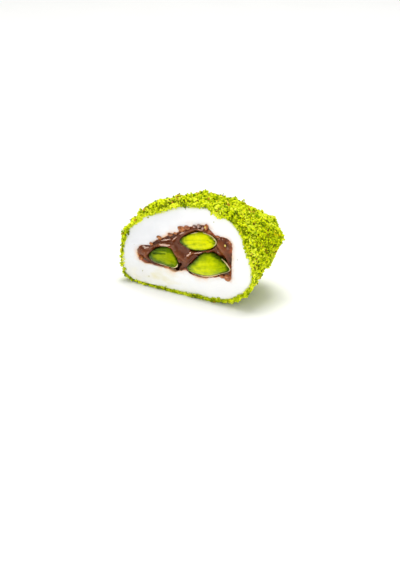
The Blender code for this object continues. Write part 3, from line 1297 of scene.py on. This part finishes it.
@dataclass(frozen=True)
class Filling:
    """The chocolate cream: an uneven core whose cut front is drawn up round the kernels."""

    roll: Roll
    kernels: tuple[Kernel, ...] = KERNELS
    ridges: tuple[Ridge, ...] = RIDGES
    flats: tuple[Flat, ...] = FLATS
    columns: int = 460
    front_rings: int = 105
    lip_rings: int = 5
    side_rings: int = 16
    length: float = 17.9 * MM
    barrel: float = 8.0 * MM
    floor: float = 0.9 * MM
    sunk: float = 0.25 * MM
    waves: tuple[Wave, ...] = (Wave(0.22, 3.4, 41, 2), Wave(0.03, 1.0, 42))
    spill: float = 0.12 * MM  # how far the front reaches over the core's outline
    frayed: Wave = Wave(0.3, 1.2, 44, 3)  # how its edge wanders
    lip_width: float = 0.1 * MM
    lip_depth: float = 0.4 * MM
    edge_lump: float = 0.4 * MM
    climb_from: float = 0.75  # mm from a kernel's edge, where the cream stands highest
    climb_width: float = 0.45  # mm
    crevice_shade: float = 0.35  # mm, how wide the painted shade round a kernel is
    pit: float = 1.7 * MM  # how deep it lies under a kernel

    def relief(self, flat: Array, part: Array) -> tuple[Array, Array]:
        """How far the cream stands out of the cut, and its tone of painted light and shade.

        The cream climbs against each kernel and drops under it, has rounded ridges where the knife
        drew it, and is lumpy at two scales, most of all along its edge.

        Args:
            flat: points of the flat cut.
            part: from 0 at the heart to 1 at the filling's edge, one for each ring.

        Returns:
            Metres towards the front, and a tone from 0, deep, to 1, pale: paler where the cream stands
            higher as painted light, darker where it lies lower, round the kernels, near the edge and
            towards the left as painted shade.
        """
        right, up = flat[..., 0] - self.roll.start[0], flat[..., 2]
        height = np.full(right.shape, -self.sunk)
        for wave in self.waves:
            height += wave.at(flat)
        for ridge in self.ridges:
            height += ridge.lift(right / MM, up / MM) * MM
        lumps = 0.5 + soft_noise(flat, 1.3 * MM, 43, 2)
        height += self.edge_lump * smooth_step(0.84, 0.97, part) * lumps
        gaps = [kernel.clearance(right, up) / MM for kernel in self.kernels]
        for kernel, gap in zip(self.kernels, gaps):
            climb = 0.25 + 0.35 * soft_noise(flat, 2.4 * MM, 45 + kernel.seed)
            height += climb * MM * np.exp(-(((gap - self.climb_from) / self.climb_width) ** 2))
        for smoothed in self.flats:
            height = smoothed.press(right / MM, up / MM, height)
        nearest = np.minimum.reduce(gaps)
        inside = 1.0 - smooth_step(-0.12, 0.2, nearest)
        height = height * (1.0 - inside) - self.pit * inside
        # Painted shade: darker in a band round each kernel, near the edge and towards the left; the tone
        # is painted paler where the cream stands higher and darker where it lies lower.
        crevice_shade = np.exp(-((np.maximum(nearest, 0.0) / self.crevice_shade) ** 2))
        shade = 0.5 * crevice_shade + 0.25 * smooth_step(0.75, 0.93, part)
        shade += 0.16 * (1.0 - smooth_step(-16.0, -9.0, right / MM))
        return height, np.clip(0.52 + 0.34 * height / (0.8 * MM) - shade, 0.0, 1.0)

    def build(self) -> None:
        """Builds the cream: the front from its heart, the rolled-in edge and the core in one skin.

        The squeezed-out edge is thin in patches, but not down in the hollows.
        """
        angle = all_round(self.columns)
        core = Layer(FILLING_OUTLINE, self.roll, self.length, self.barrel, self.floor)
        edge = core.outline.radius(angle)
        edge = edge + self.spill + self.frayed.at(core.face(angle, edge))
        part = np.linspace(0.0, 1.0, self.front_rings)[:, None] ** 0.85
        radius = edge * part
        height, tone = self.relief(core.face(angle, radius), part)
        front = core.face(angle, radius, height)
        fold = np.linspace(0.0, QUARTER, self.lip_rings + 1)[1:, None]
        rolled_in = height[-1] - self.lip_depth * (1.0 - np.cos(fold))
        lip = core.face(angle, edge + self.lip_width * np.sin(fold), rolled_in)
        side = core.side(angle, np.linspace(0.06, 1.0, self.side_rings), inset=0.05 * MM)
        rings = np.concatenate([front, lip, side])
        behind = (0, len(lip) + len(side)), (0, 0)
        part, height, tone = (np.pad(numbers, behind, mode="edge") for numbers in (part, height, tone))
        tone[-len(side):] = 0.4
        thin = smooth_step(0.9, 1.0, part) * smooth_step(0.25, 0.75, patches(rings, 1.6, 46, 2))
        thin = thin * smooth_step(-1.2 * MM, -0.3 * MM, height)
        piece = lofted("chocolate_filling", rings, {"tone": tone, "thin": thin})
        dress(piece, ChocolateCream(), "chocolate_cream", "filling")


@dataclass(frozen=True)
class Lumps:
    """Small rounded lumps on the cut, joined into one piece."""

    name: str
    finish: Finish
    slot: str
    seed: int
    ragged: float
    places: tuple[tuple[float, ...], ...]  # right, up, out, width and height in mm
    columns: int = 24
    rings: int = 14

    def build(self, roll: Roll) -> None:
        """Builds each lump as a ball with noise on it, a little flattened towards the cut.

        Args:
            roll: gives the place of the cut.
        """
        latitude = np.linspace(0.0, math.pi, self.rings)[:, None]
        longitude = all_round(self.columns, 0.0)
        ring = np.sin(latitude)
        ring[0] = ring[-1] = 0.0
        axes = ring * np.cos(longitude), ring * np.sin(longitude), np.cos(latitude)
        ball = np.stack(np.broadcast_arrays(*axes), axis=-1)
        lumps = []
        for number, (right, up, out, width, height) in enumerate(self.places):
            swell = 1.0 + self.ragged * soft_noise(ball + 7.0 * number, 0.9, self.seed, 3)[..., None]
            half = np.array([width, 0.75 * min(width, height), height]) * MM / 2.0
            middle = np.array([right * MM + roll.start[0], roll.start[1] - out * MM, up * MM])
            lumps.append(closed_loft(ball * swell * half + middle))
        dress(new_piece(self.name, joined(lumps)), self.finish, self.slot)


LUMPS = (
    Lumps("praline_lumps", Praline(), "chocolate_cream", 61, 0.45, (
        (-1.1, 20.8, 0.4, 2.4, 1.8), (0.9, 21.6, 0.3, 1.9, 1.2), (7.7, 22.9, 0.45, 1.6, 2.1),
        (8.6, 21.6, 0.3, 1.2, 1.3), (-5.3, 18.2, 0.2, 1.9, 1.2), (-9.3, 16.4, 0.2, 1.8, 1.1),
        (15.3, 9.0, 0.4, 2.1, 1.9), (-12.3, 13.8, 0.15, 1.4, 1.0), (-3.5, 19.0, 0.15, 1.3, 0.9),
        (11.7, 20.8, 0.15, 1.7, 0.9), (15.7, 19.8, 0.1, 0.9, 1.0), (3.0, 7.3, 0.05, 1.7, 0.7),
        (7.6, 7.3, 0.05, 1.9, 0.7), (-6.8, 7.5, 0.1, 1.9, 0.8), (-16.3, 8.5, 0.2, 1.6, 1.3),
        (13.2, 8.8, 0.2, 1.8, 1.0), (-17.0, 10.6, 0.1, 1.0, 1.4),
    )),
    Lumps("caramel_glaze", Caramel(), "chocolate_cream", 67, 0.35, (
        (3.6, 22.5, 0.5, 1.3, 1.0), (5.2, 22.8, 0.6, 1.3, 1.3), (6.5, 22.4, 0.5, 0.9, 1.1),
    )),
    Lumps("nut_crumbs", SeedSkin("hazelnut_crumb", "F0DC6A", "D8B040"), "chocolate_cream", 71, 0.28, (
        (14.8, 18.95, 1.0, 0.55, 0.65), (8.0, 23.2, 1.3, 0.4, 0.7),
    )),
    Lumps("stray_crumbs", SeedSkin("stray_pistachio", "B8B45A", "7A6A30"), "ground_pistachio", 73, 0.28, (
        (-3.8, 4.0, 0.3, 0.3, 0.22), (10.3, 25.0, 0.25, 0.28, 0.3), (-15.6, 4.6, 0.3, 0.3, 0.25),
        (-13.2, 3.4, 0.3, 0.4, 0.2), (-9.0, 4.2, 0.3, 0.25, 0.2), (18.6, 15.2, 0.3, 0.2, 0.24),
        (-18.6, 12.4, 0.3, 0.2, 0.2),
    )),
)


# -------------------------------------------------------------------------------- coating


class CrumbShape(Enum):
    """What a crumb is broken from: a ball of eight or of twenty faces."""

    SPLINTER = "octahedron"
    LUMP = "icosahedron"

    def template(self) -> tuple[Array, Array]:
        """The ball that a crumb starts from.

        Returns:
            Its vertices, at 1 from its middle, and its triangles.
        """
        bm = bmesh.new()
        if self is CrumbShape.SPLINTER:
            bmesh.ops.create_uvsphere(bm, u_segments=4, v_segments=2, radius=1.0)
        else:
            bmesh.ops.create_icosphere(bm, subdivisions=1, radius=1.0)
        bmesh.ops.triangulate(bm, faces=bm.faces)
        points = np.array([vert.co for vert in bm.verts])
        faces = np.array([[vert.index for vert in face.verts] for face in bm.faces])
        bm.free()
        return points, faces


@dataclass(frozen=True)
class CrumbKind:
    """One kind of crumb: its finish, how many, how large, how high it sits and how it is broken."""

    name: str
    finish: GroundPistachio
    count: int
    size: tuple[float, float]  # mm across, least and most
    lift: tuple[float, float]  # mm above the outline: least, and the spread above that
    seed: int
    shape: CrumbShape = CrumbShape.LUMP
    at_rim: bool = False
    clumped: bool = False


def random_turns(count: int, rng: np.random.Generator) -> Array:
    """Evenly spread random turns, from random unit quaternions.

    Args:
        count: how many.
        rng: the random draws.

    Returns:
        Rotation matrices.
    """
    q = rng.normal(size=(count, 4))
    w, x, y, z = (q / np.linalg.norm(q, axis=1)[:, None]).T
    return np.stack([
        np.stack([1 - 2 * (y * y + z * z), 2 * (x * y - z * w), 2 * (x * z + y * w)], axis=-1),
        np.stack([2 * (x * y + z * w), 1 - 2 * (x * x + z * z), 2 * (y * z - x * w)], axis=-1),
        np.stack([2 * (x * z - y * w), 2 * (y * z + x * w), 1 - 2 * (x * x + y * y)], axis=-1),
    ], axis=1)


def broken_crumbs(
    places: Array, sizes: Array, shape: CrumbShape, rng: np.random.Generator
) -> tuple[Skin, int]:
    """Crumbs as one joined mesh: each is a ball whose corners are moved in or out, squeezed and turned.

    None of their vertices goes below the table's level.

    Args:
        places: the crumbs' middles.
        sizes: how far each is across, in metres.
        shape: how they are broken.
        rng: the random draws.

    Returns:
        The joined skin, and the number of vertices in a crumb.
    """
    corners, triangles = shape.template()
    count = len(places)
    bent = corners[None] * rng.uniform(0.62, 1.2, (count, len(corners), 1))
    bent = bent * rng.uniform(0.42, 1.0, (count, 1, 3)) * (sizes / 2.0)[:, None, None]
    points = np.einsum("nij,nvj->nvi", random_turns(count, rng), bent) + places[:, None]
    points[..., 2] = np.maximum(points[..., 2], 0.0)
    offsets = (np.arange(count) * len(corners))[:, None, None]
    return (points.reshape(-1, 3), [(triangles[None] + offsets).reshape(-1, 3)]), len(corners)


@dataclass(frozen=True)
class Spot:
    """A round part of the coating that differs from the rest: its middle, radius and strength."""

    place: Place  # mm right of the middle, behind the cut and up
    radius: float
    strength: float

    def bell(self, points: Array, roll: Roll) -> Array:
        """Its strength round it: a bell over the distance to its middle, in radii.

        Args:
            points: places in the model's frame.
            roll: gives the place of the cut.

        Returns:
            One number for each point.
        """
        off = points - np.array([*roll.start, 0.0]) - np.array(self.place) * MM
        away = np.linalg.norm(off, axis=-1) / (self.radius * MM)
        return self.strength * np.exp(-(away**2))


@dataclass(frozen=True)
class Creep:
    """A stretch of the cut's rim where crumbs have crept over the white."""

    angle: float  # degrees round the heart, anticlockwise from +X
    spread: float  # degrees to each side
    reach: float  # mm

    def bell(self, angle: Array) -> Array:
        """Its strength from 0 to 1: a bell over the turn from its middle, in spreads."""
        off = np.abs((np.degrees(angle) - self.angle + 180.0) % 360.0 - 180.0) / self.spread
        return np.exp(-(off**2))


# Places where the crumbs are heaped up by so many mm, or lie lower.
MOUNDS = each(
    Spot,
    ((23.8, 10.8, 20.2), 1.6, -0.7), ((18.9, 1.1, 26.7), 1.2, -0.5), ((-0.9, 10.8, 28.5), 2.0, 1.1),
    ((10.6, 14.8, 26.7), 2.0, -0.5), ((16.2, 16.1, 25.1), 1.9, -1.2), ((19.2, 17.7, 22.4), 1.6, 1.4),
    ((-9.8, 0.6, 27.5), 2.0, 0.4), ((-5.4, 4.6, 28.6), 2.8, -1.1), ((-13.5, 0.5, 25.0), 2.0, 0.9),
    ((-17.1, 0.5, 22.4), 1.4, 0.5), ((-23.0, 0.5, 15.0), 2.2, 1.0), ((3.8, 13.7, 27.9), 2.2, -0.5),
    ((22.3, 18.1, 17.8), 1.4, 0.7), ((18.6, 21.2, 16.4), 1.5, -0.9), ((23.6, 14.0, 18.5), 1.2, -0.7),
)

# Painted shade where the crumbs are tinted darker, and painted light where a strength below 0 tints them
# paler.
SHADOWS = each(
    Spot,
    ((18.5, 21.4, 16.3), 3.0, 1.2), ((24.0, 11.0, 19.5), 3.2, 1.5), ((24.2, 8.0, 16.6), 1.6, 1.0),
    ((22.0, 7.1, 23.3), 3.4, 0.5), ((18.9, 1.1, 26.7), 1.8, 1.1), ((15.0, 10.1, 27.6), 2.2, 0.8),
    ((14.6, 7.0, 25.5), 2.5, 0.3), ((-19.0, 4.0, 20.5), 3.0, 0.2), ((-24.0, 2.0, 9.0), 7.0, 0.15),
    ((22.6, 3.0, 22.5), 1.5, -1.0), ((23.2, 0.0, 17.2), 2.0, -1.0), ((-5.4, 0.3, 28.4), 2.0, -1.3),
    ((-8.4, 0.0, 24.6), 1.6, -0.8), ((-15.0, 1.5, 24.0), 4.0, -0.8), ((11.6, 0.2, 27.6), 1.6, -0.9),
)

# Places where flecks of brown skin gather.
FLECKED = each(
    Spot,
    ((12.1, 5.7, 28.8), 1.6, 1.2), ((23.4, 6.2, 21.0), 2.6, 1.1), ((24.3, 1.0, 15.2), 1.8, 1.0),
    ((-3.3, 1.0, 29.4), 1.3, 1.1), ((-15.4, 0.3, 23.9), 1.5, 0.9),
)

CREEPS = each(
    Creep,
    (194.0, 10.0, 1.1), (236.0, 6.0, 1.3), (215.0, 5.0, 0.9), (178.0, 8.0, 0.6), (290.0, 8.0, 0.9),
    (312.0, 6.0, 1.0), (58.0, 9.0, 0.5), (96.0, 4.0, 0.7), (10.0, 8.0, 0.5), (126.0, 5.0, 0.6),
    (150.0, 4.0, 0.6), (163.0, 4.0, 0.6),
)

CRUMB_KINDS = (
    CrumbKind("crumbs_fine", GroundPistachio("fine_pistachio", "8A9A00", "BCCE00", "E0EE26"),
              12000, (0.3, 0.7), (-0.55, 0.3), 101, CrumbShape.SPLINTER),
    CrumbKind("crumbs_moss", GroundPistachio("moss_pistachio", "647800", "94A800", "BECE00"),
              3800, (0.5, 1.3), (-0.6, 0.35), 102),
    CrumbKind("crumbs_green", GroundPistachio("green_pistachio", "9CAE00", "C6D800", "E0EE24"),
              6200, (0.45, 1.35), (-0.5, 0.4), 103),
    CrumbKind("crumbs_lime", GroundPistachio("lime_pistachio", "CADA00", "EAF40A", "F4FC50"),
              7300, (0.45, 1.35), (-0.45, 0.42), 104),
    CrumbKind("crumbs_leaf", GroundPistachio("leaf_pistachio", "486400", "6E8E00", "98B600"),
              1300, (0.5, 1.2), (-0.3, 0.5), 110),
    CrumbKind("crumbs_large", GroundPistachio("broken_pistachio", "B6C800", "DEEA04", "EEF83E"),
              1500, (0.9, 1.75), (-0.6, 0.35), 109),
    CrumbKind("crumbs_yellow", GroundPistachio("yellow_pistachio", "D8C400", "EEDC14", "F6EC60"),
              900, (0.5, 1.2), (-0.35, 0.4), 105),
    CrumbKind("flecks_tan", GroundPistachio("skin_flecks_tan", "86600A", "AE8018", "D0A43A"),
              420, (0.4, 1.2), (-0.2, 0.25), 106, clumped=True),
    CrumbKind("flecks_brown", GroundPistachio("skin_flecks_brown", "46280A", "684010", "886020"),
              320, (0.35, 0.9), (-0.2, 0.25), 107, clumped=True),
    CrumbKind("crumbs_rim", GroundPistachio("rim_pistachio", "4C6000", "B8CA00", "FAFF3C"),
              2400, (0.4, 1.3), (-0.25, 0.55), 108, at_rim=True),
)


@dataclass(frozen=True)
class Coating:
    """Ground pistachio: a layer of pressed meal with relief, under tens of thousands of loose crumbs."""

    roll: Roll
    body: Body
    kinds: tuple[CrumbKind, ...] = CRUMB_KINDS
    mounds: tuple[Spot, ...] = MOUNDS
    shadows: tuple[Spot, ...] = SHADOWS
    flecked: tuple[Spot, ...] = FLECKED
    creeps: tuple[Creep, ...] = CREEPS
    columns: int = 380
    side_rings: int = 110
    face_rings: int = 12
    inner_rings: int = 12
    length: float = 24.5 * MM
    barrel: float = 9.5 * MM
    inset: float = 0.05 * MM  # how far it reaches into the white
    edge_radius: float = 0.5 * MM
    relief_height: float = 0.4 * MM
    lump: float = 0.9 * MM  # how wide a lump of the relief is
    drop: float = 0.5 * MM  # the meal lies this much under the outline
    cluster: float = 0.7 * MM  # how high the crumbs are heaped
    underside: float = 0.3 * MM  # below this level few crumbs stick
    own_tint: float = 0.6  # the share of a crumb's tint that isn't its neighbourhood's
    # how far above the table the painted shade of the underside reaches
    low_shade_height: float = 2.0 * MM
    rim_out: float = 0.35 * MM  # how far outside the white's edge the rim's crumbs lie
    rim_spread: float = 0.34 * MM

    def layer(self, outline: Outline) -> Layer:
        """A layer as long as the coating, down to the table."""
        return Layer(outline, self.roll, self.length, self.barrel, 0.0)

    def bells(self, spots: tuple[Spot, ...], points: Array) -> Array:
        """The strength of some spots together at each point."""
        return sum(spot.bell(points, self.roll) for spot in spots)

    def heaps(self, points: Array) -> Array:
        """How much higher the crumbs are heaped.

        Noise at 3.4 and 1.5 mm is raised so that it makes separate clusters, and the mounds are bells.

        Args:
            points: places in the model's frame.

        Returns:
            Metres, one for each point.
        """
        wave = 0.7 * soft_noise(points, 3.4 * MM, 51, 2) + 0.7 * soft_noise(points, 1.5 * MM, 52, 2)
        heap = self.cluster * (np.exp(1.6 * wave) - 1.0) / 1.6
        return heap + self.bells(self.mounds, points) * MM

    def surface(self) -> tuple[Array, Array, Array]:
        """The coating's outer skin from the far pole to the inner edge of its cut, before its relief.

        Returns:
            The points as rings, their outward normals, and how freely crumbs stick there.
        """
        angle = all_round(self.columns)
        outer = self.layer(COAT_OUTLINE)
        side = outer.side(angle, np.linspace(1.0, 0.025, self.side_rings))
        inner = BODY_OUTLINE.radius(angle) + self.inset
        part = np.linspace(0.0, 1.0, self.face_rings)[:, None]
        rounding = self.edge_radius * (1.0 - np.sin(np.clip(part * 1.6, 0.0, 1.0) * QUARTER))
        radius = np.maximum(outer.outline.radius(angle) * (1.0 - part) + inner * part, inner)
        rings = np.concatenate([side, outer.face(angle, radius, -rounding)])
        along = np.gradient(rings, axis=0)
        around = np.roll(rings, -1, axis=1) - np.roll(rings, 1, axis=1)
        normals = np.cross(along, around)
        normals = normals / np.maximum(np.linalg.norm(normals, axis=-1, keepdims=True), 1e-12)
        centre = rings.reshape(-1, 3).mean(axis=0)
        outward = np.sign(np.einsum("rci,rci->rc", normals, rings - centre).mean())
        return rings, normals * outward, np.where(rings[..., 2] < self.underside, 0.3, 1.0)

    def build_meal(self) -> None:
        """Builds the pressed meal as a closed shell round the delight, with a cellular relief."""
        rings, normals, _ = self.surface()
        away, number = cell_noise(rings, self.lump, 61)
        lump = (1.0 - smooth_step(0.0, 0.75, away)) * (0.4 + 0.6 * number)
        relief = lump * self.relief_height - self.drop + 0.8 * self.heaps(rings)
        fade = np.ones((len(rings), 1))
        fade[-self.face_rings:, 0] = np.linspace(0.8, 0.0, self.face_rings)
        fade[0] = 0.0
        skin = rings + normals * (relief * fade)[..., None]
        skin[..., 2] = np.maximum(skin[..., 2], 0.0)
        reach = np.linspace(0.03, 1.0, self.inner_rings)
        wall = self.body.outside().side(all_round(self.columns), reach, inset=self.inset)
        height = np.vstack([lump, np.zeros(wall.shape[:2])])
        piece = lofted("pistachio_meal", np.concatenate([skin, wall]), {"relief": height})
        dress(piece, PressedMeal(), "ground_pistachio", "coating")

    def scatter(self, count: int, rng: np.random.Generator) -> tuple[Array, Array]:
        """Random places spread evenly over the skin's area.

        A quad is drawn by its area, and a place in it by its two parts of the way across.

        Args:
            count: how many.
            rng: the random draws.

        Returns:
            The places and the outward normals there.
        """
        rings, normals, stick = self.surface()
        beside = np.roll(rings, -1, axis=1)
        area = np.linalg.norm(np.cross(rings[1:] - rings[:-1], beside[:-1] - rings[:-1]), axis=-1)
        chance = (area * stick[:-1]).ravel()
        pick = rng.choice(len(chance), count, p=chance / chance.sum())
        ring, column = np.divmod(pick, rings.shape[1])
        s, t = rng.random((2, count, 1))
        place = (rings[ring, column] * (1 - s) + rings[ring + 1, column] * s) * (1 - t)
        place = place + (beside[ring, column] * (1 - s) + beside[ring + 1, column] * s) * t
        return place, normals[ring, column]

    def scatter_rim(self, count: int, rng: np.random.Generator) -> tuple[Array, Array]:
        """Random places along the white's edge at the cut.

        Args:
            count: how many.
            rng: the random draws.

        Returns:
            The places, and for each the direction out of the cut.
        """
        angle = rng.uniform(-math.pi, math.pi, count)
        beyond = self.rim_out + self.rim_spread * rng.normal(size=count)
        for creep in self.creeps:
            beyond -= creep.reach * MM * rng.random(count) * creep.bell(angle)
        place = self.layer(BODY_OUTLINE).face(angle, BODY_OUTLINE.radius(angle) + beyond, -0.1 * MM)
        return place, np.tile([0.0, -1.0, 0.0], (count, 1))

    def paleness_and_shade(self, points: Array) -> Array:
        """How pale the crumbs are tinted there: nuts of random paleness as noise at 4 mm, less the painted
        shade of the shadows, and less again as painted shade towards the underside.

        Args:
            points: places in the model's frame.

        Returns:
            Numbers from about 0 to 1, one for each point.
        """
        # painted shade: the crumbs darker towards the underside
        low_shade = 0.3 * np.exp(-points[:, 2] / self.low_shade_height)
        own = 0.68 + 0.8 * soft_noise(points, 4.0 * MM, 55, 2) - low_shade
        return own - self.bells(self.shadows, points)

    def build_crumbs(self, kind: CrumbKind) -> None:
        """Scatters one kind of crumb and joins it into one piece.

        Each crumb's tint is partly its own and partly its neighbourhood's paleness and painted shade.
        Clumped kinds keep the third of their places where a noise and the flecked spots are highest.

        Args:
            kind: the kind of crumb.
        """
        rng = np.random.default_rng(kind.seed)
        spread = self.scatter_rim if kind.at_rim else self.scatter
        place, normal = spread(kind.count * (3 if kind.clumped else 1), rng)
        if kind.clumped:
            gathered = self.bells(self.flecked, place) + soft_noise(place, 3.0 * MM, kind.seed, 2)
            chosen = np.argsort(-gathered)[: kind.count]
            place, normal = place[chosen], normal[chosen]
        sizes = (kind.size[0] + (kind.size[1] - kind.size[0]) * rng.random(kind.count) ** 1.6) * MM
        lift = (kind.lift[0] + kind.lift[1] * rng.exponential(0.5, kind.count).clip(0.0, 1.3)) * MM
        lift += 0.0 if kind.at_rim else self.heaps(place)
        place = place + normal * lift[:, None]
        place[:, 2] = np.maximum(place[:, 2], sizes * 0.3)
        skin, corners = broken_crumbs(place, sizes, kind.shape, rng)
        tint = self.own_tint * rng.random(kind.count) + (1.0 - self.own_tint) * self.paleness_and_shade(place)
        tint = np.clip(tint, 0.0, 1.0)
        piece = new_piece(kind.name, skin, {"tint": np.repeat(tint, corners)}, smooth=False)
        dress(piece, kind.finish, "ground_pistachio")

    def build(self) -> None:
        """Builds the meal and every kind of crumb on it."""
        self.build_meal()
        for kind in self.kinds:
            self.build_crumbs(kind)


# --------------------------------------------------------------------------------- studio


@dataclass(frozen=True)
class SoftBox:
    """A square lamp that faces the piece."""

    name: str
    place: Place  # metres
    size: float  # metres
    power: float  # watts

    def build(self) -> None:
        """Hangs the lamp."""
        data = bpy.data.lights.new(self.name, "AREA")
        data.shape, data.size, data.energy = "SQUARE", self.size, self.power
        lamp = placed(self.name, data)
        lamp.location = self.place
        lamp.rotation_euler = Vector(self.place).to_track_quat("Z", "Y").to_euler()


@dataclass(frozen=True)
class Studio:
    """A pale table in a bright room, a soft lamp overhead and two in front, and the camera."""

    roll: Roll
    look_at: Place = (-0.9, 8.8, 0.4)  # mm right, behind the cut and up
    azimuth: float = 35.1  # degrees
    elevation: float = 20.8
    distance: float = 500.0 * MM
    lens: float = 105.0  # mm
    sensor: float = 36.0  # mm, its long side
    room: float = 0.498
    table_size: float = 6.0
    table_depth: float = 0.02
    lamps: tuple[SoftBox, ...] = (
        SoftBox("soft_box_overhead", (-0.05, 0.12, 0.7), 0.4, 3.9),
        SoftBox("soft_box_front", (0.46, -0.67, 0.33), 0.5, 2.15),
        SoftBox("soft_box_left", (-0.44, -0.67, 0.15), 0.09, 0.55),
    )

    def build_table(self) -> None:
        """Builds the table top as a thin slab whose upper side is the floor."""
        half = self.table_size / 2.0
        corners = np.meshgrid([-half, half], [-half, half], [-self.table_depth, 0.0], indexing="ij")
        points = np.stack(corners, axis=-1).reshape(-1, 3)
        faces = [[0, 1, 3, 2], [4, 6, 7, 5], [0, 4, 5, 1], [2, 3, 7, 6], [0, 2, 6, 4], [1, 5, 7, 3]]
        table = new_piece("table_floor", (points, [np.array(faces)]), smooth=False)
        table.data.materials.append(PaleTable().material())

    def build_room(self) -> None:
        """Fills the room with even white light."""
        world = bpy.data.worlds.new("studio")
        world.use_nodes = True
        sky = world.node_tree.nodes["Background"].inputs
        sky["Color"].default_value = (1.0, 1.0, 1.0, 1.0)
        sky["Strength"].default_value = self.room
        bpy.context.scene.world = world

    def build_camera(self) -> None:
        """Sets the camera at its angle and distance from the place that it looks at."""
        a, e = math.radians(self.azimuth), math.radians(self.elevation)
        away = Vector((math.sin(a) * math.cos(e), -math.cos(a) * math.cos(e), math.sin(e)))
        data = bpy.data.cameras.new("camera")
        data.lens, data.sensor_width = self.lens, self.sensor
        data.clip_start, data.clip_end = 0.01, 20.0
        camera = placed("camera", data)
        target = Vector((*self.roll.start, 0.0)) + Vector(self.look_at) * MM
        camera.location = target + away * self.distance
        camera.rotation_euler = away.to_track_quat("Z", "Y").to_euler()
        bpy.context.scene.camera = camera

    def build(self) -> None:
        """Builds the table, the lights and the camera, and shows colours as they are."""
        self.build_table()
        self.build_room()
        for lamp in self.lamps:
            lamp.build()
        self.build_camera()
        bpy.context.scene.view_settings.view_transform = "Standard"


def main() -> None:
    """Builds the studio, then the piece from the inside out."""
    logging.basicConfig(level=logging.INFO, format="%(message)s")
    roll = settled_roll()
    Studio(roll).build()
    for kernel in KERNELS:
        kernel.build(roll)
    Filling(roll).build()
    for lumps in LUMPS:
        lumps.build(roll)
    body = Body(roll)
    body.build()
    Coating(roll, body).build()
    faces = sum(len(thing.data.polygons) for thing in bpy.data.objects if thing.type == "MESH")
    log.info("%d faces in all", faces)


if __name__ == "__main__":
    main()
